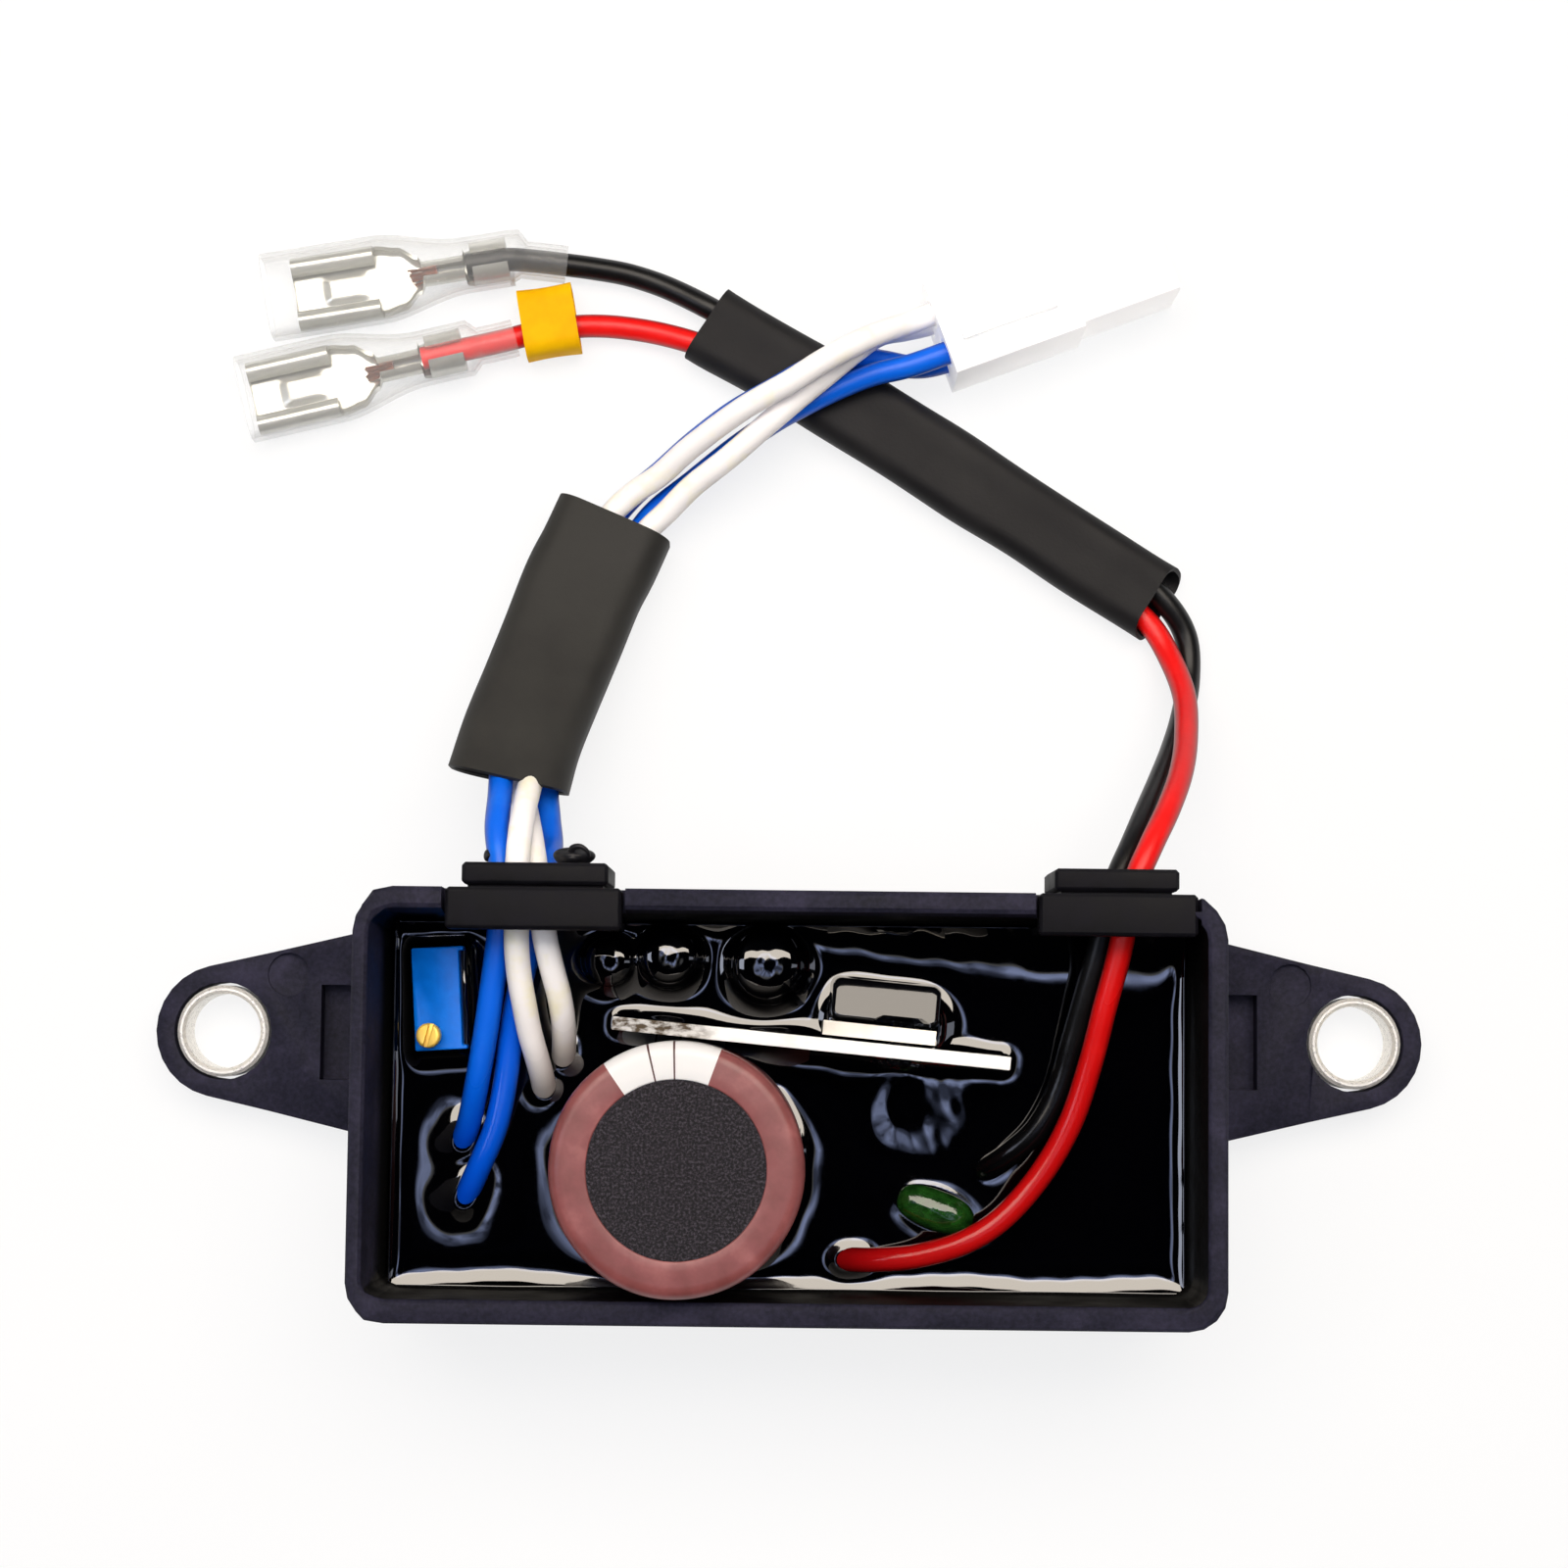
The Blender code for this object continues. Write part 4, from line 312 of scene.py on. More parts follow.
# %% [markdown]
# ## Finishes inside the case
# Epoxy potting resin cures with a wet black gloss. The large capacitor wears a maroon PVC film that
# was shrunk on with heat, printed with a pale stripe for its negative side, and a grainy black
# disc of vulcanised fibre. The trimmer is glossy blue moulding with a brass screw. The small film
# capacitor was dipped in green lacquer, which keeps slow waves where it ran. The heatsink plate is
# bright rolled aluminium.


# %% Resin, capacitor, trimmer and metal finishes
def make_resin_finish():
    """A black mirror, with a little dust in its gloss and a slow swell."""
    material, tree, shader = new_material("cured_potting_resin", "#010102", 0.035, IOR=1.6,
                                          Specular_IOR_Level=1.0)
    place = place_of(tree)
    dust = noise(tree, place, 0.5, 2.0)
    feed(tree, shader, Roughness=spread(tree, dust, 0.02, 0.055))
    roughen(tree, shader, noise(tree, place, 6.0, 2.0, 0.4), 0.05, 0.15)
    return material


def make_film_finish(centre):
    """Maroon film with a pale stripe and two thin lines, each set by its angle about the axis."""
    material, tree, shader = new_material("shrunk_pvc_film", "#8a4d45", 0.38, IOR=1.54)
    place = place_of(tree, centre=centre)
    axes = add_node(tree, "SeparateXYZ", {"Vector": place})
    angle = add_node(tree, "Math", {0: axes.outputs["Y"], 1: axes.outputs["X"]}, "Value",
                     operation="ARCTAN2")
    colour = ramp(tree, noise(tree, place, 3.0, 4.0), [
        (0.3, "#753d3b"), (0.55, "#864948"), (0.75, "#9c5c5a")])
    for start, end, print_colour in ((70, 125.2, "#e2e1e0"), (103.3, 104.3, "#4a2622"),
                                     (91.1, 92.1, "#4a2622")):
        middle, half = math.radians(start + end) / 2, math.radians(end - start) / 2
        printed = add_node(tree, "Math", {0: angle, 1: middle, 2: half}, "Value",
                           operation="COMPARE")
        colour = add_node(tree, "Mix", {
            "Factor": printed, "A": colour, "B": hex_colour(print_colour)}, "Result",
            data_type="RGBA")
    streaks = noise(tree, place_of(tree, centre=centre, stretch=(1, 1, 0.15)), 0.9, 3.0)
    feed(tree, shader, Base_Color=colour, Roughness=spread(tree, streaks, 0.30, 0.46))
    roughen(tree, shader, streaks, 0.03, 0.6)
    return material


def make_metal_finish(name, colour, low, high, grain_mm, stretch=(1, 1, 1), depth=0.006,
                      metallic=1.0, bright_above=None, tarnished_from=None):
    """Bright metal with fine scratches along the way it was rolled or turned.

    Below the height bright_above it is near black. To the left of tarnished_from it is dull.
    """
    material, tree, shader = new_material(name, colour, (low + high) / 2, metallic)
    place = place_of(tree)
    scratches = noise(tree, place_of(tree, stretch=stretch), grain_mm, 4.0, 0.65)
    stained = spread(tree, noise(tree, place, 2.5, 2.0), 0.0, 0.22)
    tint = add_node(tree, "Mix", {"Factor": stained, "A": hex_colour(colour),
                                  "B": hex_colour("#8d8578")}, "Result", data_type="RGBA")
    axes = add_node(tree, "SeparateXYZ", {"Vector": place})
    if tarnished_from:
        far = spread(tree, axes.outputs["X"], 1.0, 0.0, tarnished_from * MM,
                     (tarnished_from + 3) * MM)
        specks = noise(tree, place_of(tree, stretch=(0.5, 1, 1)), 0.5, 3.0)
        specks = spread(tree, specks, 0.35, 1.0, 0.40, 0.60)
        dull = add_node(tree, "Math", {0: far, 1: specks}, "Value", operation="MULTIPLY")
        tint = add_node(tree, "Mix", {"Factor": dull, "A": tint, "B": hex_colour("#4d3f2c")},
                        "Result", data_type="RGBA")
    if bright_above:
        # Below this height the colour goes to near black.
        above_height = spread(tree, axes.outputs["Z"], 0.0, 1.0, (bright_above - 0.05) * MM,
                      (bright_above + 0.05) * MM)
        tint = add_node(tree, "Mix", {"Factor": above_height, "A": hex_colour("#050506"), "B": tint},
                        "Result", data_type="RGBA")
    feed(tree, shader, Base_Color=tint, Roughness=spread(tree, scratches, low, high))
    roughen(tree, shader, scratches, depth)
    return material


def make_lacquer_finish(name, dark, light, roughness, wave_mm=0.10):
    """Dipped lacquer: a smooth gloss with slow waves where it ran before it cured."""
    return make_clouded_finish(name, roughness, (0.9, 3.0), shades(dark, light), depth_mm=wave_mm,
                               strength=0.6, IOR=1.55, Coat_Weight=0.5, Coat_Roughness=0.03)


capacitor_low, capacitor_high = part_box("capacitor_sleeve")
capacitor_centre = (capacitor_low + capacitor_high) / 2
resin_finish = make_resin_finish()
film_finish = make_film_finish(capacitor_centre)
disc_finish = make_clouded_finish(
    "black_fibre_disc", 0.9, (0.24, 2.0, 0.7), [(0.36, "#0f0d11"), (0.50, "#1e1b20"),
                                                (0.66, "#443f47")], depth_mm=0.06)
trimmer_finish = make_clouded_finish(
    "blue_moulded_polyester", 0.45, (1.2, 4.0), [(0.3, "#006ad6"), (0.55, "#0071e0"),
                                                 (0.78, "#087ae8")],
    (0.4, 0.52), (0.2,), 0.01, IOR=1.55, Specular_IOR_Level=0.2)
green_lacquer = make_lacquer_finish("green_dipped_lacquer", "#0a2408", "#1d4a16", 0.12)
# Black for the parts under the resin, soaked by it, and painted shade on the rivet above it.
wet_black_and_shade = make_lacquer_finish("resin_wet_and_shade_black", "#020203", "#07070a", 0.05)
epoxy_finish = make_lacquer_finish("wet_moulded_epoxy", "#050507", "#0b0b0e", 0.10, 0.01)
plate_finish = make_metal_finish("rolled_aluminium", "#fffefb", 0.35, 0.55, 0.25, (0.12, 1, 1),
                                 0.03, metallic=0.2, bright_above=25.3, tarnished_from=-9.0)
tab_finish = make_metal_finish("tinned_copper_tab", "#fdf6e8", 0.3, 0.45, 0.35, depth=0.02,
                               metallic=0.25, bright_above=24.9)
brass_finish = make_metal_finish("turned_brass", "#ffd45c", 0.3, 0.45, 0.3, metallic=0.35)
laminate_finish = make_metal_finish("glass_laminate", "#2c5a3a", 0.4, 0.6, 0.5)
print("capacitor stands at", [round(value / MM, 1) for value in capacitor_centre])

# %% [markdown]
# ## Finishes of the leads
# The leads are copper strands in extruded PVC. Extrusion leaves a smooth satin skin, and where a
# lead goes down into the resin, the resin has crept up it and made it darker and glossier. Higher
# up inside the case the darkening carries on as painted shade, and each lead's edges are painted
# darker as painted shade. The sleeves are matt polyolefin tubing, the boots are clear soft PVC, and
# the terminals are brass sheet with bright tin on it.


# %% Lead, sleeve, terminal, boot and plug finishes
def make_insulation_finish(name, colour, wet_and_shade_colour, worn_colour, edge_shade_colour, edge_shade_share,
                           wet_and_shade_top_mm=19.2):
    """Extruded PVC, dry outside the case; inside it, darker and glossier below 15.2 mm where resin
    soaks it, and painted shade darkens it further up and at its grazing edges.
    """
    dry_roughness, wet_roughness = 0.36, 0.08
    material, tree, shader = new_material(name, colour, dry_roughness, IOR=1.52,
                                          Specular_IOR_Level=0.35)
    place = place_of(tree)
    axes = add_node(tree, "SeparateXYZ", {"Vector": place})
    # Below 15.2 mm resin soaks the lead; the darkening that fades out above it is painted shade
    # inside the case.
    low = spread(tree, axes.outputs["Z"], 1.0, 0.0, 15.2 * MM, wet_and_shade_top_mm * MM)
    inside = spread(tree, axes.outputs["Y"], 1.0, 0.0, 13.0 * MM, 15.0 * MM)
    wet_and_shade = add_node(tree, "Math", {0: low, 1: inside}, "Value", operation="MULTIPLY")
    worn = spread(tree, noise(tree, place, 4.0, 3.0), 0.0, 1.0, 0.52, 0.70)
    # Darker towards the lead's grazing edges: painted shade.
    facing = add_node(tree, "LayerWeight", {"Blend": 0.5}, "Facing")
    edge = spread(tree, facing, 0.0, edge_shade_share, 0.25, 0.85)
    shade = hex_colour(colour)
    for factor, other in ((worn, worn_colour), (wet_and_shade, wet_and_shade_colour), (edge, edge_shade_colour)):
        shade = add_node(tree, "Mix", {"Factor": factor, "A": shade, "B": hex_colour(other)},
                         "Result", data_type="RGBA")
    feed(tree, shader, Base_Color=shade,
         Roughness=spread(tree, wet_and_shade, dry_roughness, wet_roughness, 0.0, 1.0))
    roughen(tree, shader, noise(tree, place, 0.8), 0.015)
    return material


def make_clear_finish():
    """Clear soft PVC: almost nothing face on, and milky where the wall is seen on edge."""
    material, tree, shader = new_material("clear_soft_pvc", "#f3f5f5", 0.12, IOR=1.5)
    facing = add_node(tree, "LayerWeight", {"Blend": 0.35}, "Facing")
    feed(tree, shader, Alpha=spread(tree, facing, 0.07, 0.5, 0.05, 0.95))
    roughen(tree, shader, noise(tree, place_of(tree), 2.2, 2.0), 0.10, 0.5)
    return material


def make_moulding_finish(name, dark, light, roughness, glow=0.0, specular=0.3):
    """Moulded plastic. The glow is painted light: emission in the light colour that brightens the
    part.
    """
    return make_clouded_finish(
        name, roughness, (3.0, 3.0), shades(dark, light), grain=(0.3,), IOR=1.53,
        Specular_IOR_Level=specular, Emission_Color=hex_colour(light), Emission_Strength=glow)


# Each lead: name, colour, colour where resin soaks it and painted shade, worn colour, colour of the
# painted edge shade and its share, and the top of the darkening in mm. The red lead's 24 mm carries
# painted shade far up inside the case.
lead_finishes = {kind: make_insulation_finish(*settings) for kind, settings in {
    "lead_red": ("red_pvc", "#e81210", "#8e080c", "#f01a16", "#74060a", 0.95, 24.0),
    "lead_black": ("black_pvc", "#0c0c0d", "#030304", "#131314", "#050506", 0.9),
    "sense_white": ("white_pvc", "#fefbf9", "#aea9a3", "#fbf6dc", "#ddd6d6", 0.35),
    "sense_blue": ("blue_pvc", "#0464e2", "#0246c4", "#0a6ee8", "#043f9e", 0.9),
}.items()}
long_tubing_finish, short_tubing_finish = (
    make_clouded_finish(name, 0.62, (6.0, 4.0), shades(dark, light), (0.55, 0.7), (0.35, 3.0), 0.02,
                        IOR=1.5, Specular_IOR_Level=0.3)
    for name, dark, light in (("black_polyolefin_tubing", "#0f0e10", "#1c1b1c"),
                              ("charcoal_polyolefin_tubing", "#252422", "#31302d")))
clear_finish = make_clear_finish()
marker_finish = make_moulding_finish("yellow_marker_pvc", "#eaac00", "#f4bd00", 0.6, specular=0.08)
sealant_finish = make_moulding_finish("black_sealant", "#101013", "#1c1c20", 0.4)
# The plug's glow of 0.3 is painted light that keeps it near white.
plug_finish = make_moulding_finish("natural_nylon", "#fbfaf8", "#ffffff", 0.6, 0.3)
terminal_finish = make_metal_finish("tinned_brass", "#d6d7cf", 0.16, 0.28, 0.4, metallic=0.55)
copper_finish = make_metal_finish("copper_strands", "#d88c72", 0.25, 0.4, 0.2)
print("finishes:", len(bpy.data.materials))
# %% [markdown]
# ## Tools for finer surfaces
# Every new surface is a grid of points: rows along the piece and columns round it. A turned piece
# repeats one profile about an axis, and a tube repeats one section along a line. Whole arrays of
# points are worked out at once.


# %% Grids, turned pieces and tubes
def grid_faces(rows, columns, wrap):
    """The quads between neighbours of a grid, numbered row by row."""
    index = np.arange(rows * columns).reshape(rows, columns)
    if wrap:
        index = np.concatenate([index, index[:, :1]], axis=1)
    quads = [index[:-1, :-1], index[:-1, 1:], index[1:, 1:], index[1:, :-1]]
    return np.stack(quads, axis=-1).reshape(-1, 4)


def surface(name, grid, finish, wrap=True, loop=False, close=True, sharp=40):
    """A mesh from a grid of points. Closed ends shrink to the middle of their row."""
    if loop:
        grid = np.concatenate([grid, grid[:1]])
    elif close:
        first, last = grid[:1].mean(axis=1, keepdims=True), grid[-1:].mean(axis=1, keepdims=True)
        ends = [np.broadcast_to(end, (1, grid.shape[1], 3)) for end in (first, last)]
        grid = np.concatenate([ends[0], grid, ends[1]])
    rows, columns = grid.shape[:2]
    mesh = bpy.data.meshes.new(name)
    mesh.from_pydata(grid.reshape(-1, 3), [], grid_faces(rows, columns, wrap))
    body = bmesh.new()
    body.from_mesh(mesh)
    bmesh.ops.remove_doubles(body, verts=body.verts, dist=2e-7)
    bmesh.ops.recalc_face_normals(body, faces=body.faces)
    body.to_mesh(mesh)
    body.free()
    mesh.shade_smooth()
    mesh.set_sharp_from_angle(angle=math.radians(sharp))
    mesh.materials.append(finish)
    piece = bpy.data.objects.new(name, mesh)
    bpy.context.scene.collection.objects.link(piece)
    return piece


def stands_for(piece, slot, *nodes):
    """The piece rides on the regulator and stands for these nodes, which are hidden. The slot is not
    used.
    """
    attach(piece, "regulator")
    if nodes:
        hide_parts(*nodes)
    return piece


def eased(profile, radius, steps=5):
    """Round each inner corner of an open (r, z) profile with a short curve of that radius."""
    profile = np.asarray(profile, float)
    points = [profile[0]]
    for before, corner, after in zip(profile, profile[1:], profile[2:]):
        back, ahead = before - corner, after - corner
        reach = min(radius, np.linalg.norm(back) / 2.05, np.linalg.norm(ahead) / 2.05)
        start = corner + back / np.linalg.norm(back) * reach
        end = corner + ahead / np.linalg.norm(ahead) * reach
        t = np.linspace(0, 1, steps)[:, None]
        points.extend((1 - t) ** 2 * start + 2 * t * (1 - t) * corner + t ** 2 * end)
    points.append(profile[-1])
    return np.array(points)


def turned(profile, centre, count=96, waviness=0.0):
    """Grid of an (r, z) profile in millimetres turned upright: x = r cos a, y = r sin a."""
    profile = np.asarray(profile, float) * MM
    angle = np.linspace(0, 2 * np.pi, count, endpoint=False)
    wave = 1 + waviness * (np.sin(3 * angle + 0.7) + 0.6 * np.sin(7 * angle + 2.1))
    radius = profile[:, :1] * wave[None, :]
    x = centre[0] + radius * np.cos(angle)
    y = centre[1] + radius * np.sin(angle)
    return np.stack([x, y, np.broadcast_to(profile[:, 1:], x.shape)], axis=-1)


def smooth_line(points, spacing):
    """Points on the Catmull-Rom curve through the given ones, no further apart than the spacing."""
    known = np.asarray(points, float)
    known = np.concatenate([[2 * known[0] - known[1]], known, [2 * known[-1] - known[-2]]])
    line = []
    for before, start, end, after in zip(known, known[1:], known[2:], known[3:]):
        parts = max(1, math.ceil(np.linalg.norm(end - start) / spacing))
        t = np.arange(parts)[:, None] / parts
        curve = 2 * start + (end - before) * t + (2 * before - 5 * start + 4 * end - after) * t ** 2
        line.append(0.5 * (curve + (3 * start - before - 3 * end + after) * t ** 3))
    line.append(known[-2][None])
    return np.concatenate(line)


def unit(vectors):
    """Each vector at length one."""
    return vectors / np.linalg.norm(vectors, axis=-1, keepdims=True)


def line_frames(line):
    """For each point: the level way across the line, and the way up."""
    ahead = unit(np.gradient(line, axis=0))
    across = unit(np.cross(ahead, [0.0, 0.0, 1.0]))
    return across, np.cross(across, ahead)


def turn_free_frames(line):
    """Ways across and up that follow the line without twisting about it, also where it stands."""
    ahead = unit(np.gradient(line, axis=0))
    across = np.zeros_like(ahead)
    across[0] = unit(np.cross(ahead[0], [0.0, 1.0, 0.0]))
    for index in range(1, len(line)):
        last, way = across[index - 1], ahead[index]
        across[index] = unit(last - way * np.dot(last, way))
    return across, np.cross(ahead, across)


def tube(line, radius, count=28):
    """Grid of a round tube: p + r (cos a across + sin a up)."""
    across, up = turn_free_frames(line)
    angle = np.linspace(0, 2 * np.pi, count, endpoint=False)
    radius = np.broadcast_to(radius, len(line))[:, None, None]
    ring = (across[:, None] * np.cos(angle)[None, :, None]
            + up[:, None] * np.sin(angle)[None, :, None])
    return line[:, None] + radius * ring


def rounded_outline(width, height, corner, count=48):
    """A rectangle with round corners, as evenly spread (u, v) points."""
    steps = max(2, count // 8)
    angle = np.linspace(0, np.pi / 2, steps)
    parts = []
    for side_u, side_v, start in ((1, 1, 0), (-1, 1, 1), (-1, -1, 2), (1, -1, 3)):
        turn = angle + start * np.pi / 2
        parts.append(np.stack([side_u * (width / 2 - corner) + corner * np.cos(turn),
                               side_v * (height / 2 - corner) + corner * np.sin(turn)], axis=-1))
    outline = np.concatenate(parts)
    closed = np.concatenate([outline, outline[:1]])
    length = np.concatenate([[0], np.cumsum(np.linalg.norm(np.diff(closed, axis=0), axis=1))])
    at = np.linspace(0, length[-1], count, endpoint=False)
    return np.stack([np.interp(at, length, closed[:, axis]) for axis in (0, 1)], axis=-1)


def swept(line, outlines):
    """Grid of outlines set square across a line: p + u across + v up."""
    across, up = line_frames(line)
    outlines = np.asarray(outlines)
    return line[:, None] + outlines[..., :1] * across[:, None] + outlines[..., 1:] * up[:, None]


def placed(grid, place, turn):
    """Millimetres in a piece's own frame to metres in the object's: turn about Z, then move."""
    cos, sin = math.cos(turn), math.sin(turn)
    x = place[0] + grid[..., 0] * cos - grid[..., 1] * sin
    y = place[1] + grid[..., 0] * sin + grid[..., 1] * cos
    return np.stack([x, y, grid[..., 2]], axis=-1) * MM


def eased_step(share):
    """0 to 1 with level ends: 3 s^2 - 2 s^3."""
    share = np.clip(share, 0, 1)
    return share * share * (3 - 2 * share)


def eased_rows(keys, parts_of):
    """Rows of (place, *settings) that ease from each key to the next, and the last key's own."""
    rows = []
    for (start, *first), (end, *second) in zip(keys, keys[1:]):
        parts = parts_of(end - start)
        for share in np.arange(parts) / parts:
            mix = [a + (b - a) * eased_step(share) for a, b in zip(first, second)]
            rows.append((start + (end - start) * share, *mix))
    return rows + [keys[-1]]


sample = tube(np.array([[0, 0, 0], [0, 0, 1], [0, 0, 2.0]]), 0.1)
print("a tube of 3 points has", sample.shape, "points")

# %% [markdown]
# ## Edges of the moulded pieces
# The plain solids have knife edges. A moulding tool can't make those, and a folded or sawn sheet
# doesn't keep them, so each of these pieces is copied, its loose triangles are joined, and its
# edges are rounded by a few tenths of a millimetre. The bright line along a rounded edge is what
# the eye reads as the edge.


# %% Copies with rounded edges
def rounded_facets(piece, corner_mm, low=12, high=28):
    """Round off the upright edges between the flats of a coarse round corner."""
    mesh = piece.data
    body = bmesh.new()
    body.from_mesh(mesh)
    weight = body.edges.layers.float.new("bevel_weight_edge")
    for edge in body.edges:
        run = edge.verts[1].co - edge.verts[0].co
        upright = abs(run.z) > 0.98 * run.length
        if upright and len(edge.link_faces) == 2:
            edge[weight] = float(low < math.degrees(edge.calc_face_angle()) < high)
    body.to_mesh(mesh)
    body.free()
    bevel = piece.modifiers.new("corners", "BEVEL")
    bevel.width = corner_mm * MM
    bevel.segments = 4
    bevel.limit_method = "WEIGHT"


def dressed(node, finish, slot, edge_mm, angle=28, corner_mm=0.0):
    """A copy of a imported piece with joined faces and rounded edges."""
    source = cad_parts[node]
    mesh = bpy.data.meshes.new(node + "_finished")
    body = bmesh.new()
    body.from_mesh(source.data)
    bmesh.ops.remove_doubles(body, verts=body.verts, dist=1e-6)
    bmesh.ops.dissolve_limit(body, angle_limit=math.radians(1.0), verts=body.verts,
                             edges=body.edges)
    bmesh.ops.recalc_face_normals(body, faces=body.faces)
    body.to_mesh(mesh)
    body.free()
    mesh.materials.clear()
    mesh.materials.append(finish)
    mesh.shade_smooth()
    piece = bpy.data.objects.new(node + "_finished", mesh)
    bpy.context.scene.collection.objects.link(piece)
    if corner_mm:
        rounded_facets(piece, corner_mm)
    bevel = piece.modifiers.new("edges", "BEVEL")
    bevel.width = edge_mm * MM
    bevel.segments = 2
    bevel.limit_method = "ANGLE"
    bevel.angle_limit = math.radians(angle)
    bevel.harden_normals = True
    bevel.use_clamp_overlap = True
    return stands_for(piece, slot, node)


def nudged(piece, share_of, shift):
    """Move each point by its share, 0 to 1, of the shift: share_of(x, y, z), in millimetres."""
    points = np.empty(len(piece.data.vertices) * 3)
    piece.data.vertices.foreach_get("co", points)
    points = points.reshape(-1, 3)
    points += share_of(*(points / MM).T)[:, None] * np.array(shift) * MM
    piece.data.vertices.foreach_set("co", points.ravel())
    piece.data.update()


# The case's rim and the grommets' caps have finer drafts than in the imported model. The rim's lower,
# upper and left inner edges move out first, and then the upper wall's outside leans out.
case = dressed("housing", case_finish, "case_nylon", 0.25, corner_mm=0.62)
for share_of, shift in (
        (lambda x, y, z: (z > 27.5) & (abs(x) < 37.9) & (y > -17.9) & (y < -15.0), (0, 0.35, 0)),
        (lambda x, y, z: (z > 27.5) & (abs(x) < 37.9) & (y > 16.9) & (y < 17.7), (0, 0.4, 0)),
        (lambda x, y, z: (z > 27.5) & (x > -38.0) & (x < -36.5), (-0.4, 0, 0)),
        (lambda x, y, z: (z > 20) * (abs(x) < 39.5) * np.clip((y - 17.8) / 1.3, 0, 1),
         (0, 0.5, 0))):
    nudged(case, share_of, shift)
for name in ("grommet_left", "grommet_right"):
    grommet = dressed(name, grommet_finish, "grommet_rubber", 0.2)
    nudged(grommet, lambda x, y, z: y < 16.2, (0, 0.5, 0))
    nudged(grommet, lambda x, y, z: (y > 19.2) | (z > 25.6) & (y > 18.0), (0, 0.5, 0))
# The photograph has the plate and its tab 2.07 mm further left along the plate.
TURN = math.radians(-5.2)
PLATE_SLIDE = np.array([math.cos(TURN), math.sin(TURN), 0]) * -2.07
for name, finish, slot, edge in (("heatsink_plate", plate_finish, "plate_aluminium", 0.12),
                                 ("transistor_tab", tab_finish, "tab_tin", 0.18)):
    nudged(dressed(name, finish, slot, edge), lambda x, y, z: z > 0, PLATE_SLIDE)
dressed("trimmer_body", trimmer_finish, "trimmer_plastic", 0.18)
dressed("plug_housing", plug_finish, "plug_nylon", 0.25)


def make_corner(inner_x, inner_y, radius=1.9):
    """A fillet in an inner corner of the case: arc and rim, with its far side in the wall."""
    way = np.array([np.sign(inner_x), np.sign(inner_y)])
    angle = np.linspace(0, np.pi / 2, 14)[::int(way[0] * way[1])]
    round_ = np.stack([np.cos(angle), np.sin(angle)], axis=-1)
    square = round_ / round_.max(axis=1, keepdims=True)
    rows = []
    for height, flat in ((12.5, radius * round_), (27.6, radius * round_),
                         (27.85, (radius + 0.06) * round_), (27.97, (radius + 0.2) * round_),
                         (27.97, (radius + 0.35) * square)):
        plan = np.array([inner_x, inner_y]) + way * (flat - radius)
        rows.append(np.column_stack([plan, np.full(len(plan), height)]))
    side, end = "right" if inner_x > 0 else "left", "upper" if inner_y > 0 else "lower"
    piece = surface(f"case_corner_{side}_{end}", np.array(rows) * MM, case_finish, wrap=False,
                    close=False, sharp=60)
    if piece.data.polygons[-1].normal.z < 0:
        piece.data.flip_normals()
    return stands_for(piece, "case_nylon")


for inner_x, inner_y in ((-37.8, 17.7), (37.4, 17.7), (-37.8, -16.95), (37.4, -16.95)):
    make_corner(inner_x, inner_y)

# %% [markdown]
# ## Bushes
# A bush is a short piece of steel tube, cut off and chamfered on a lathe. Ninety-six facets make
# its ring look round, and the tool's marks run round it.

# %% Bushes
for side, name in ((-1, "bush_left"), (1, "bush_right")):
    low, high = (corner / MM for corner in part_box(name))
    middle = ((low + high) / 2) * MM
    profile = [(3.6, 0.3), (3.9, 0.0), (4.1, 0.0), (4.4, 0.3),
               (4.4, 4.7), (4.1, 5.0), (3.9, 5.0), (3.6, 4.7)]
    ring = surface(name + "_turned", turned(profile, middle), bush_finish, loop=True, sharp=30)
    stands_for(ring, "bush_steel", name)
print("bush ring from radius 3.6 to 4.4 mm, height", round(high[2] - low[2], 2))

# %% [markdown]
# ## Large capacitor
# The film is a tube that shrinks in hot air. It grips the can's shoulder, folds over onto the top
# with a soft, slightly uneven lip, and holds the black disc under it.

# %% Large capacitor
film_profile = eased([
    (9.8, 6.9), (11.3, 6.9), (11.3, 18.0), (11.3, 30.75), (10.85, 31.3), (10.3, 31.5),
    (8.6, 31.57), (7.95, 31.5), (7.9, 31.3), (9.2, 31.3)], 0.5, 6)
film = surface("capacitor_film", turned(film_profile, capacitor_centre, 160, 0.0025), film_finish,
               sharp=60)
stands_for(film, "shrink_film", "capacitor_sleeve")
disc_profile = [(0.01, 31.0), (8.2, 31.0), (8.2, 31.38), (7.6, 31.42), (0.01, 31.45)]
disc = surface("capacitor_disc", turned(disc_profile, capacitor_centre, 96), disc_finish)
stands_for(disc, "disc_paper", "capacitor_top_disc")
print("film lip from radius", film_profile[-1][0], "mm")

# %% [markdown]
# ## Trimmer screw
# A brass screw with a slot, turned on a lathe and slotted with a saw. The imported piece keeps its
# place on the joint; its edges are only rounded here.

# %% Trimmer screw
screw = dressed("trimmer_screw", brass_finish, "screw_brass", 0.08, angle=40)
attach(screw, "trimmer_screw")
screw_low, screw_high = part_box("trimmer_screw")
print("screw spans", [round(float(value) / MM, 2) for value in screw_high - screw_low])

# %% [markdown]
# ## Where the leads run
# Each lead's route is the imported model's own route, from the board to its terminal or plug cavity,
# in metres. The finer tubes, the sleeves and the rise of the resin round each lead all follow it.

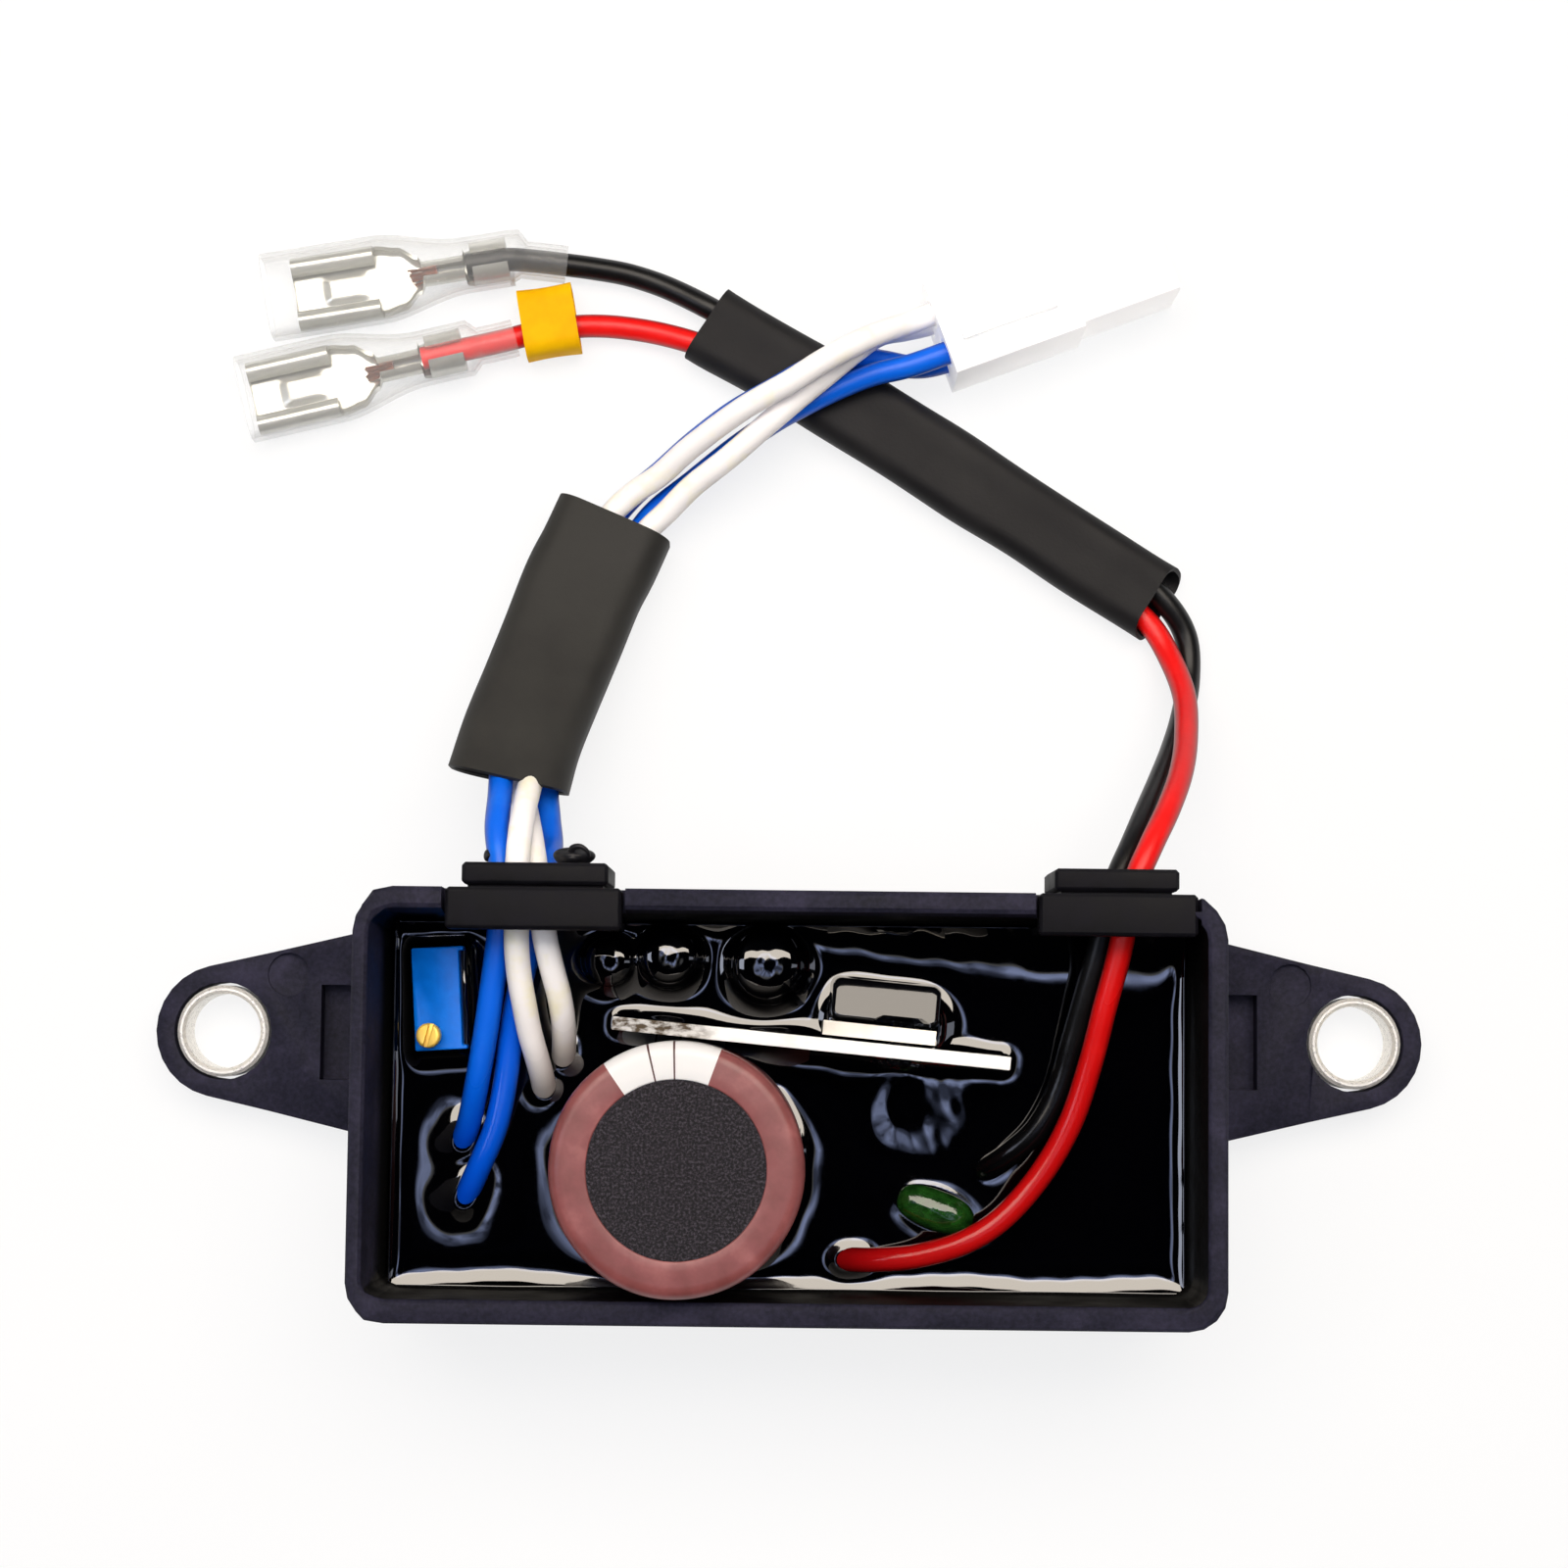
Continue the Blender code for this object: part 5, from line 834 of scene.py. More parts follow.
# %% Routes of the leads
ROUTES = {
    "lead_red": [
        (0.0033, -0.0144, 0.0069), (0.0034, -0.0144, 0.0090), (0.0041, -0.0143, 0.0115),
        (0.0055, -0.0141, 0.0136), (0.0080, -0.0140, 0.0152), (0.0121, -0.0135, 0.0164),
        (0.0164, -0.0121, 0.0173), (0.0200, -0.0097, 0.0175), (0.0234, -0.0057, 0.0176),
        (0.0260, -0.0010, 0.0180), (0.0277, 0.0044, 0.0189), (0.0289, 0.0096, 0.0201),
        (0.0299, 0.0136, 0.0209), (0.0306, 0.0170, 0.0215), (0.0315, 0.0210, 0.0217),
        (0.0330, 0.0244, 0.0209), (0.0349, 0.0280, 0.0185), (0.0365, 0.0316, 0.0150),
        (0.0375, 0.0353, 0.0109), (0.0379, 0.0397, 0.0065), (0.0369, 0.0438, 0.0034),
        (0.0349, 0.0474, 0.0022), (0.0315, 0.0501, 0.0021), (0.0238, 0.0551, 0.0021),
        (0.0152, 0.0606, 0.0021), (0.0066, 0.0659, 0.0021), (-0.0019, 0.0709, 0.0021),
        (-0.0072, 0.0737, 0.0021), (-0.0099, 0.0748, 0.0021), (-0.0132, 0.0758, 0.0016),
        (-0.0163, 0.0764, 0.0013), (-0.0193, 0.0766, 0.0015), (-0.0222, 0.0764, 0.0019),
        (-0.0256, 0.0758, 0.0021), (-0.0288, 0.0749, 0.0023), (-0.0318, 0.0741, 0.0026),
        (-0.0343, 0.07352, 0.0027), (-0.0370, 0.07286, 0.0027),
    ],
    "lead_black": [
        (0.0168, -0.0069, 0.0069), (0.0169, -0.0068, 0.0090), (0.0174, -0.0064, 0.0115),
        (0.0186, -0.0056, 0.0136), (0.0206, -0.0041, 0.0152), (0.0230, -0.0018, 0.0160),
        (0.0250, 0.0019, 0.0163), (0.0263, 0.0066, 0.0171), (0.0275, 0.0112, 0.0183),
        (0.0284, 0.0146, 0.0190), (0.0292, 0.0180, 0.0194), (0.0301, 0.0214, 0.0193),
        (0.0316, 0.0246, 0.0179), (0.0332, 0.0278, 0.0151), (0.0349, 0.0310, 0.0115),
        (0.0366, 0.0344, 0.0076), (0.0380, 0.0380, 0.0042), (0.0389, 0.0420, 0.0020),
        (0.0387, 0.0461, 0.0015), (0.0367, 0.0494, 0.0020), (0.0332, 0.0525, 0.0021),
        (0.0256, 0.0576, 0.0021), (0.0169, 0.0632, 0.0021), (0.0082, 0.0686, 0.0021),
        (-0.0004, 0.0738, 0.0021), (-0.0060, 0.0769, 0.0021), (-0.0089, 0.0785, 0.0021),
        (-0.0115, 0.0799, 0.0016), (-0.0140, 0.0810, 0.0013), (-0.0170, 0.0819, 0.0013),
        (-0.0202, 0.0824, 0.0015), (-0.0234, 0.0827, 0.0019), (-0.0262, 0.0829, 0.0023),
        (-0.0287, 0.08295, 0.0026), (-0.0306, 0.08267, 0.0027), (-0.0328, 0.08229, 0.0027),
    ],
    "sense_white_1": [
        (-0.0227, -0.0005, 0.0069), (-0.0226, -0.0003, 0.0091), (-0.0226, 0.0003, 0.0114),
        (-0.0228, 0.0014, 0.0135), (-0.0230, 0.0029, 0.0154), (-0.0234, 0.0047, 0.0171),
        (-0.0239, 0.0068, 0.0186), (-0.0243, 0.0092, 0.0200), (-0.0247, 0.0118, 0.0212),
        (-0.0249, 0.0146, 0.0223), (-0.0249, 0.0183, 0.0229), (-0.0249, 0.0218, 0.0228),
        (-0.0248, 0.0252, 0.0211), (-0.0246, 0.0283, 0.0178), (-0.0242, 0.0311, 0.0143),
        (-0.0232, 0.0350, 0.0116), (-0.0228, 0.0392, 0.0096), (-0.0233, 0.0430, 0.0084),
        (-0.0232, 0.0470, 0.0071), (-0.0214, 0.0512, 0.0058), (-0.0196, 0.0546, 0.0051),
        (-0.0179, 0.0572, 0.0049), (-0.0158, 0.0592, 0.0051), (-0.0132, 0.0609, 0.0059),
        (-0.0101, 0.0634, 0.0076), (-0.0052, 0.0667, 0.0098), (-0.0005, 0.0693, 0.0108),
        (0.0024, 0.0712, 0.0109), (0.0056, 0.0730, 0.0109), (0.0085, 0.0746, 0.0094),
        (0.0109, 0.0758, 0.0076), (0.0132, 0.07692, 0.00687), (0.01691, 0.07834, 0.00685),
    ],
    "sense_white_2": [
        (-0.0218, 0.0022, 0.0069), (-0.0217, 0.0024, 0.0091), (-0.0214, 0.0031, 0.0113),
        (-0.0211, 0.0043, 0.0135), (-0.0209, 0.0060, 0.0156), (-0.0209, 0.0080, 0.0176),
        (-0.0212, 0.0102, 0.0193), (-0.0218, 0.0126, 0.0205), (-0.0224, 0.0152, 0.0211),
        (-0.0229, 0.0184, 0.0212), (-0.0234, 0.0216, 0.0208), (-0.0240, 0.0243, 0.0186),
        (-0.0248, 0.0270, 0.0151), (-0.0257, 0.0300, 0.0122), (-0.0260, 0.0340, 0.0094),
        (-0.0245, 0.0384, 0.0070), (-0.0225, 0.0428, 0.0057), (-0.0200, 0.0466, 0.0061),
        (-0.0179, 0.0502, 0.0058), (-0.0160, 0.0534, 0.0051), (-0.0143, 0.0557, 0.0048),
        (-0.0125, 0.0574, 0.0051), (-0.0100, 0.0598, 0.0061), (-0.0064, 0.0625, 0.0074),
        (-0.0028, 0.0656, 0.0082), (0.0004, 0.0684, 0.0083), (0.0030, 0.0706, 0.0082),
        (0.0055, 0.0727, 0.0084), (0.0080, 0.0748, 0.0068), (0.0107, 0.0760, 0.0041),
        (0.0132, 0.07692, 0.00278), (0.01691, 0.07834, 0.00275),
    ],
    "sense_blue_1": [
        (-0.0320, -0.0062, 0.0069), (-0.0316, -0.0059, 0.0090), (-0.0311, -0.0051, 0.0113),
        (-0.0304, -0.0037, 0.0134), (-0.0296, -0.0016, 0.0151), (-0.0288, 0.0019, 0.0169),
        (-0.0280, 0.0064, 0.0180), (-0.0274, 0.0104, 0.0190), (-0.0269, 0.0140, 0.0198),
        (-0.0265, 0.0180, 0.0204), (-0.0267, 0.0220, 0.0202), (-0.0272, 0.0254, 0.0189),
        (-0.0272, 0.0285, 0.0167), (-0.0273, 0.0317, 0.0142), (-0.0274, 0.0356, 0.0113),
        (-0.0270, 0.0396, 0.0084), (-0.0255, 0.0438, 0.0056), (-0.0235, 0.0478, 0.0037),
        (-0.0215, 0.0512, 0.0028), (-0.0196, 0.0544, 0.0023), (-0.0180, 0.0570, 0.0022),
        (-0.0159, 0.0595, 0.0024), (-0.0132, 0.0617, 0.0033), (-0.0100, 0.0644, 0.0046),
        (-0.0062, 0.0672, 0.0055), (-0.0024, 0.0694, 0.0058), (0.0014, 0.0716, 0.0058),
        (0.0052, 0.0729, 0.0053), (0.0086, 0.0728, 0.0039), (0.0116, 0.0725, 0.0030),
        (0.0144, 0.07301, 0.00275), (0.01837, 0.07451, 0.00275),
    ],
    "sense_blue_2": [
        (-0.0318, -0.0118, 0.0069), (-0.0314, -0.0115, 0.0090), (-0.0309, -0.0106, 0.0113),
        (-0.0300, -0.0088, 0.0136), (-0.0286, -0.0058, 0.0151), (-0.0271, -0.0021, 0.0156),
        (-0.0263, 0.0019, 0.0158), (-0.0258, 0.0059, 0.0163), (-0.0252, 0.0096, 0.0172),
        (-0.0244, 0.0130, 0.0182), (-0.0234, 0.0166, 0.0186), (-0.0229, 0.0203, 0.0184),
        (-0.0226, 0.0224, 0.0171), (-0.0225, 0.0242, 0.0147), (-0.0229, 0.0268, 0.0129),
        (-0.0232, 0.0300, 0.0116), (-0.0226, 0.0340, 0.0093), (-0.0214, 0.0382, 0.0071),
        (-0.0198, 0.0422, 0.0052), (-0.0183, 0.0462, 0.0039), (-0.0176, 0.0502, 0.0031),
        (-0.0166, 0.0534, 0.0025), (-0.0153, 0.0560, 0.0022), (-0.0134, 0.0582, 0.0026),
        (-0.0102, 0.0606, 0.0036), (-0.0061, 0.0637, 0.0050), (-0.0021, 0.0664, 0.0057),
        (0.0009, 0.0681, 0.00575), (0.0041, 0.0697, 0.0058), (0.0074, 0.0710, 0.0061),
        (0.0109, 0.0718, 0.0065), (0.0145, 0.07304, 0.00683), (0.01837, 0.07451, 0.00685),
    ],
}
LONG_SLEEVE_LINE = [
    (0.0359, 0.0493, 0.00215), (0.0328, 0.0512, 0.00215), (0.0280, 0.0542, 0.00215),
    (0.0231, 0.0574, 0.00215), (0.0183, 0.0604, 0.00215), (0.0134, 0.0636, 0.00215),
    (0.0056, 0.0684, 0.00215), (-0.0012, 0.0724, 0.00215), (-0.0071, 0.0757, 0.00215),
    (-0.0089, 0.0768, 0.00215),
]
SHORT_SLEEVE_LINE = [
    (-0.0267, 0.0303, 0.0132), (-0.0257, 0.0348, 0.0106), (-0.0241, 0.0398, 0.0080),
    (-0.0224, 0.0448, 0.0060), (-0.0206, 0.0500, 0.0046), (-0.0191, 0.0532, 0.0040),
    (-0.0176, 0.0567, 0.0037),
]

lines = {name: smooth_line(points, 0.35 * MM) for name, points in ROUTES.items()}

# %% [markdown]
# ## The resin's surface
# Liquid resin climbs whatever it wets and thins out within a millimetre or two, then cures like
# that. The surface is therefore a level sheet plus a rise round each thing in it. A rise falls off
# with the distance d from the thing as A exp(-d / L). Rises that meet are added like the sides of a
# right triangle, so that no crease forms. The three small capacitors and the rectifier are under
# the surface, and show only as domes.


# %% Distances on the resin's surface
def box_distance(x, y, centre, size, turn, corner=0.3):
    """Distance to the outside of a turned rectangle, in millimetres, and 0 inside it."""
    u = (x - centre[0]) * np.cos(turn) + (y - centre[1]) * np.sin(turn)
    v = -(x - centre[0]) * np.sin(turn) + (y - centre[1]) * np.cos(turn)
    over_u = np.abs(u) - (size[0] / 2 - corner)
    over_v = np.abs(v) - (size[1] / 2 - corner)
    outside = np.hypot(np.maximum(over_u, 0), np.maximum(over_v, 0))
    return np.maximum(outside + np.minimum(np.maximum(over_u, over_v), 0) - corner, 0)


def round_distance(x, y, centre, radius):
    """Distance to the outside of a circle, and 0 inside it."""
    return np.maximum(np.hypot(x - centre[0], y - centre[1]) - radius, 0)


def oval_distance(x, y, centre, size, turn):
    """About the distance to the outside of a turned ellipse."""
    u = (x - centre[0]) * np.cos(turn) + (y - centre[1]) * np.sin(turn)
    v = -(x - centre[0]) * np.sin(turn) + (y - centre[1]) * np.cos(turn)
    share = np.hypot(u / (size[0] / 2), v / (size[1] / 2))
    return np.maximum(share - 1, 0) * min(size) / 2


def line_distance(x, y, line, radius):
    """Distance to a line of points, less the radius: (sum of gap^-8)^(-1/8), without creases."""
    gaps = np.hypot(x[..., None] - line[:, 0], y[..., None] - line[:, 1])
    return np.maximum(np.sum((gaps + 0.05) ** -8.0, axis=-1) ** (-1 / 8) - radius, 0)


def smooth_highest(low, high, softness):
    """The larger of two heights, with the corner between them rounded off."""
    return 0.5 * (low + high + np.sqrt((low - high) ** 2 + softness ** 2))


def rise(distance, height, reach, climb=0.45):
    """A exp(-d / L) for the wide foot, plus a short steep climb where the resin touches."""
    return height * np.exp(-distance / reach) + climb * np.exp(-distance / 0.3)


def waves(x, y, seed, sizes, count=5):
    """A sum of slow sine waves in fixed, scattered directions."""
    chance = np.random.default_rng(seed)
    total = np.zeros_like(x)
    for wavelength in np.linspace(*sizes, count):
        way, phase = chance.uniform(0, 2 * np.pi, 2)
        total += np.sin(2 * np.pi * (x * np.cos(way) + y * np.sin(way)) / wavelength + phase)
    return total / count


print("distance 1 mm outside a circle:", round_distance(np.array(3.0), np.array(0.0), (0, 0), 2.0))


# %% The resin's surface
# Everything here is in millimetres: places and sizes in the plan, and a lead's rise and its reach.
RESIN_LEVEL = 14.0
WALL_X, WALL_Y = 37.1, 17.1
CAPACITOR = ((-9.8, -5.2), 11.2)
PLATE = ((1.99, 5.98), (36.0, 1.2), TURN)
TRANSISTOR = ((8.95, 7.73), (10.4, 5.6), TURN, 2.4)
TRIMMER = ((-32.43, 9.67), (4.83, 9.53), math.radians(3.5))
DROP_PLACE, DROP_TURN = (13.8, -9.4), math.radians(-20)
COAT = 0.15
LEAD_RISES = {"lead_red": (0.38, 0.85), "lead_black": (0.12, 0.8), "sense_white_1": (0.25, 0.9),
              "sense_white_2": (0.25, 0.9), "sense_blue_1": (0.5, 1.3), "sense_blue_2": (0.6, 1.5)}
SMALL_DOMES = [((-16.96, 13.4), 2.2, 15.4), ((-11.2, 13.8), 2.75, 16.5), ((-2.1, 13.2), 3.5, 17.0)]


def resin_height(x, y):
    """Height of the resin: level + root of the summed squares of all rises + swell."""
    shake = 0.35 * waves(x, y, 3, (3.0, 9.0))
    flow = 1.5 + 0.05 * np.clip(x, 0, 22)
    rises = [
        rise(y + WALL_Y + 0.2 * np.sin(x / 3.3), 0.64, 1.3, 0.1),
        rise(WALL_Y - y, 0.8 * (flow / 1.5) ** 1.4, flow, 0.0),
        rise(x + WALL_X, 0.4, 1.1),
        rise(WALL_X - x, 0.6, 1.2, 0.3),
        rise(round_distance(x, y, *CAPACITOR), 0.42, 2.0, 0.1) * np.clip((4 - y) / 8, 0.25, 1),
        rise(box_distance(x, y, *PLATE), 0.5, 0.85, 0.2) * (1 + 0.3 * np.sin(x / 1.9 + 1.0)),
        rise(box_distance(x, y, *TRANSISTOR), 0.85, 0.95, 0.1),
        rise(box_distance(x, y, *TRIMMER), 0.8, 0.9),
        rise(oval_distance(x, y, DROP_PLACE, (7.6, 4.0), DROP_TURN), 0.24, 1.2, 0.0),
    ]
    for name, (climb, reach) in LEAD_RISES.items():
        points = lines[name] / MM
        crossing = points[(points[:, 2] > 13.2) & (points[:, 2] < 14.7)]
        rises.append(rise(line_distance(x, y, crossing, 0.9), climb, reach, 0.0))
    for centre, radius, top in SMALL_DOMES:
        rises.append(rise(round_distance(x, y, centre, radius), 0.6, 1.0))
    level = RESIN_LEVEL + 0.03 * waves(x, y, 11, (8.0, 22.0))
    height = level + np.sqrt(sum(rise ** 2 for rise in rises)) * (1 + 0.25 * shake)
    for centre, radius, top in SMALL_DOMES:
        out = np.minimum(np.hypot(x - centre[0], y - centre[1]) / (radius + COAT), 1.2)
        dome = top + COAT - radius * (0.174 * out ** 1.6 + 0.55 * out ** 10)
        dome = dome + (0.005 + 0.02 * np.exp(-(out / 0.4) ** 2)) * waves(x, y, 41, (0.9, 2.0))
        height = np.where(out < 1.2, smooth_highest(height, dome, 0.15), height)
    hump = np.hypot((x - 13.0) / 4.8, (y + 0.6) / 4.9)
    fade = eased_step((18.5 - x) / 8) * eased_step((y + 6.5) / 6)
    lumps = 0.015 * waves(x, y, 29, (1.3, 3.4), 9)
    return height + (0.34 * fade + lumps) * np.exp(-hump ** 5)


def make_resin(spacing):
    """The sheet from wall to wall, with its edge turned down out of sight."""
    edge_x, edge_y, highest, skirt = WALL_X + 0.05, WALL_Y + 0.05, 22.0, 12.0
    x, y = np.meshgrid(np.linspace(-edge_x, edge_x, round(2 * edge_x / spacing)),
                       np.linspace(-edge_y, edge_y, round(2 * edge_y / spacing)))
    z = np.minimum(resin_height(x, y), highest)
    z[0] = z[-1] = skirt
    z[:, 0] = z[:, -1] = skirt
    return np.stack([x, y, z], axis=-1) * MM


sheet_grid = make_resin(0.19)
sheet = surface("resin_surface", sheet_grid, resin_finish, wrap=False, close=False, sharp=180)
stands_for(sheet, "potting_resin", "potting_resin", "small_capacitor_1", "small_capacitor_2",
           "small_capacitor_3", "rectifier_block")
if sheet.data.polygons[0].normal.z < 0:
    sheet.data.flip_normals()
print("resin faces:", len(sheet.data.polygons))
print("highest mm:", round(float(sheet_grid[..., 2].max() / MM), 1))

# %% [markdown]
# ## Transistor under its coat
# The transistor was dipped in the same resin. The coat has run off its top towards the wall, so the
# top leans that way and mirrors the bright softbox behind.


# %% Transistor coat
def make_transistor_coat():
    """Grid of the coat in the plate's own frame: a rounded block whose top leans by 14 degrees."""
    half, depth, along, off = 5.0, 3.9, 4.5, 4.35
    outline = rounded_outline(2 * half, depth, 0.8, 96)
    rows = []
    for height, inset in ((13.0, -0.3), (15.0, -0.2), (17.4, -0.05), (18.2, 0.0), (18.6, 0.08),
                          (18.8, 0.2), (18.87, 0.35), (18.9, 0.5), (18.9, 0.9), (18.9, 1.3)):
        u = outline[:, 0] * (half - inset) / half
        v = outline[:, 1] * (depth / 2 - inset) / (depth / 2)
        lean = np.clip((height - 15.0) / 3.6, 0, 1) * (0.25 * (v + depth / 2))
        rows.append(np.stack([u + along, v + off, height - lean], axis=-1))
    return np.array(rows)


PACKED_PLATE_MIDDLE = (4.05, 5.79)
coat = make_transistor_coat()
transistor = surface("transistor_coat", placed(coat, PACKED_PLATE_MIDDLE, TURN), epoxy_finish,
                     sharp=180)
stands_for(transistor, "transistor_epoxy", "transistor_body")
print("coat spans mm:", np.round(np.ptp(coat.reshape(-1, 3), axis=0), 1))


# %% [markdown]
# ## Green film capacitor
# The capacitor's foils were dipped twice in lacquer. The lacquer gathers at the ends and thins over
# the middle, which leaves a drop with a faintly squared outline.


# %% Green film capacitor
def make_drop():
    """Grid of superellipses: |u/a|^2.6 + |v/b|^2.6 = 1, narrower towards the top."""
    angle = np.linspace(0, 2 * np.pi, 72, endpoint=False)
    way_u = np.sign(np.cos(angle)) * np.abs(np.cos(angle)) ** (2 / 2.6)
    way_v = np.sign(np.sin(angle)) * np.abs(np.sin(angle)) ** (2 / 2.6)
    share = np.array([0.0, 0.12, 0.5, 0.72, 0.8, 0.87, 0.93, 0.97, 0.99, 1.0])
    size = np.array([0.72, 1.0, 1.0, 1.0, 0.97, 0.9, 0.76, 0.54, 0.3, 0.08])
    u = way_u * (7.6 / 2 - (1 - size[:, None]) * 2.0)
    v = way_v * size[:, None] * 2.0
    z = np.broadcast_to((6.9 + share * 8.8)[:, None], u.shape)
    return np.stack([u, v, z + 0.08 * np.sin(1.3 * u)], axis=-1)


drop = make_drop()
film_drop = surface("film_capacitor_drop", placed(drop, DROP_PLACE, DROP_TURN),
                    green_lacquer, sharp=180)
stands_for(film_drop, "film_capacitor_coat", "film_capacitor")
print("drop's top at", round(float(drop[..., 2].max()), 1), "mm")

# %% [markdown]
# ## Sealant
# A little sealant was squeezed out between the grommet and the leads, and pulled up to a thread
# where the nozzle left it.


# %% Sealant beads
def make_bead(centre, radii, seed):
    """Grid of a lumpy ball: r = 1 + sine lumps, stretched by the radii."""
    polar = np.linspace(0.02, np.pi - 0.02, 28)[:, None]
    round_ = np.linspace(0, 2 * np.pi, 40, endpoint=False)[None, :]
    lump = (0.94 + 0.06 * np.sin(3 * round_ + seed) * np.sin(polar)
            + 0.05 * np.sin(5 * polar + seed))
    x = radii[0] * lump * np.sin(polar) * np.cos(round_)
    y = radii[1] * lump * np.sin(polar) * np.sin(round_)
    z = radii[2] * lump * np.cos(polar) * np.ones_like(round_)
    return np.stack([x, y, z], axis=-1) + np.array(centre)


for side, centre, radii, seed in (("right", (-19.9, 22.7, 20.9), (1.95, 0.95, 1.5), 0.4),
                                  ("left", (-27.7, 22.8, 20.0), (0.62, 0.62, 0.9), 1.9)):
    bead = surface("sealant_" + side, make_bead(centre, radii, seed) * MM, sealant_finish)
    stands_for(bead, "sealant", "sealant_bead_" + side)
HOOK_ROUTE = np.array([(-20.2, 23.0, 21.6), (-19.9, 23.5, 22.2), (-19.2, 23.6, 22.5),
                       (-18.6, 23.2, 22.4), (-18.4, 22.7, 22.1)])
hook_line = smooth_line(HOOK_ROUTE * MM, 0.15 * MM)
hook_radius = np.linspace(0.36, 0.14, len(hook_line)) * MM
hook = surface("sealant_hook", tube(hook_line, hook_radius, 16), sealant_finish)
stands_for(hook, "sealant")
print("hook points:", len(hook_line))


# %% [markdown]
# ## Sleeves and marker
# The sleeves are soft tubing, pressed flat by what lies in them, and cut a little aslant. The
# marker is a short piece of yellow tube that slides on its lead.


# %% Sleeves and marker
def make_tubing(name, route, finish, wall, size_of, corner, count, press=None, spacing=1.0,
                slant=0.0):
    """An open tube: outer outlines forward, then inner ones back, closed on itself.

    The size comes from the share of the length, and the press scales the height across the width.
    The slant carries the first end's upper lip forward and its lower lip back by as much, in mm.
    """
    line = smooth_line(route, spacing * MM)
    near_end = np.clip(1 - np.arange(len(line)) * spacing / 5, 0, 1)[:, None, None]
    lip_shift = unit(line[0] - line[6]) * slant * MM
    shells = []
    for depth in (0.0, wall):
        outlines = []
        for share in np.linspace(0, 1, len(line)):
            width, height = size_of(share)
            outline = rounded_outline((width - 2 * depth) * MM, (height - 2 * depth) * MM,
                                      (corner - depth) * MM, count)
            if press:
                outline[:, 1] *= press(outline[:, 0] / MM)
            outlines.append(outline)
        shell = swept(line, outlines)
        above = shell[0, :, 2] - line[0, 2]
        above = (above / np.abs(above).max())[None, :, None]
        shells.append(shell + lip_shift * near_end * above)
    return surface(name, np.concatenate([shells[0], shells[1][::-1]]), finish, loop=True, sharp=50)


def long_size(share):
    """Two leads side by side under the skin, a little narrower at the waist."""
    return 8.0 - 0.15 * math.sin(9 * share) - 0.1 * math.sin(23 * share + 1), 4.1


def short_size(share):
    """Four leads under the skin."""
    return 11.6 - 0.2 * math.sin(5 * share + 0.5), 7.1


def marker_size(share):
    """A short tube whose mouths open a little."""
    grow = 1 - 0.03 * math.sin(math.pi * share)
    return 6.9 * grow, 4.6 * grow


long_sleeve = make_tubing(
    "long_sleeve_tubing", LONG_SLEEVE_LINE, long_tubing_finish, 0.45, long_size, 1.75, 64,
    press=lambda u: 1 - 0.05 * np.exp(-(u / 1.2) ** 2), slant=-0.9)
short_sleeve = make_tubing(
    "short_sleeve_tubing", SHORT_SLEEVE_LINE, short_tubing_finish, 0.45, short_size, 2.45, 72,
    press=lambda u: 0.988 + 0.012 * np.cos(u / 1.35), slant=1.9)
marker_turn, marker_middle = math.radians(-170), np.array([-24.5, 76.7, 2.4])
marker_half = np.array([math.cos(marker_turn), math.sin(marker_turn), 0]) * 2.7
marker_route = np.array([marker_middle - marker_half, marker_middle + marker_half]) * MM
marker = make_tubing("marker_tubing", marker_route, marker_finish, 0.5, marker_size, 1.5, 56,
                     spacing=0.4)
for piece, slot, node in ((long_sleeve, "sleeve_black", "long_sleeve"),
                          (short_sleeve, "sleeve_black", "short_sleeve"),
                          (marker, "marker_yellow", "marker_tube")):
    stands_for(piece, slot, node)
print("sleeve points:", len(long_sleeve.data.vertices), len(short_sleeve.data.vertices))


# %% [markdown]
# ## Terminals
# A receptacle is stamped and folded from one strip of tinned brass. Two wings close round the
# insulation, two more bite the bare strands, and the receptacle's edges roll over to grip the
# blade. The section along it changes from one form to the next, so it is drawn as a row of
# sections.


# %% Terminals
SHEET = 0.4


def strip_section(flat_half, roll_radius, roll_angle, steps=14):
    """A strip seen from its end: flat in the middle, each edge rolled up through the roll angle."""
    angle = np.linspace(0, roll_angle, steps)
    flat = np.linspace(0, flat_half, 13)[:-1]
    u = np.concatenate([flat, flat_half + roll_radius * np.sin(angle)])
    v = np.concatenate([np.zeros_like(flat), roll_radius * (1 - np.cos(angle))])
    way = np.concatenate([np.zeros_like(flat), angle])
    u, v, way = (np.concatenate([sign * part[:0:-1], part])
                 for sign, part in ((-1, u), (1, v), (-1, way)))
    middle = np.stack([u, v], axis=-1)
    skin = SHEET / 2 * np.stack([np.sin(way), -np.cos(way)], axis=-1)
    return np.concatenate([middle + skin, (middle - skin)[::-1]])


TERMINAL_KEYS = [
    # along the terminal in mm, half width of the flat, roll radius, roll angle in degrees
    (-1.75, 0.29, 1.65, 168), (1.75, 0.29, 1.65, 168), (1.95, 0.58, 1.65, 42),
    (2.5, 0.58, 1.55, 40), (2.65, 0.15, 0.92, 166), (6.75, 0.15, 0.92, 166),
    (7.15, 0.8, 0.95, 85), (9.1, 2.3, 0.8, 70), (11.2, 2.7, 0.8, 76), (11.45, 2.7, 0.8, 262),
    (19.65, 2.7, 0.8, 262),
]
FLOOR_HEIGHT = 0.85


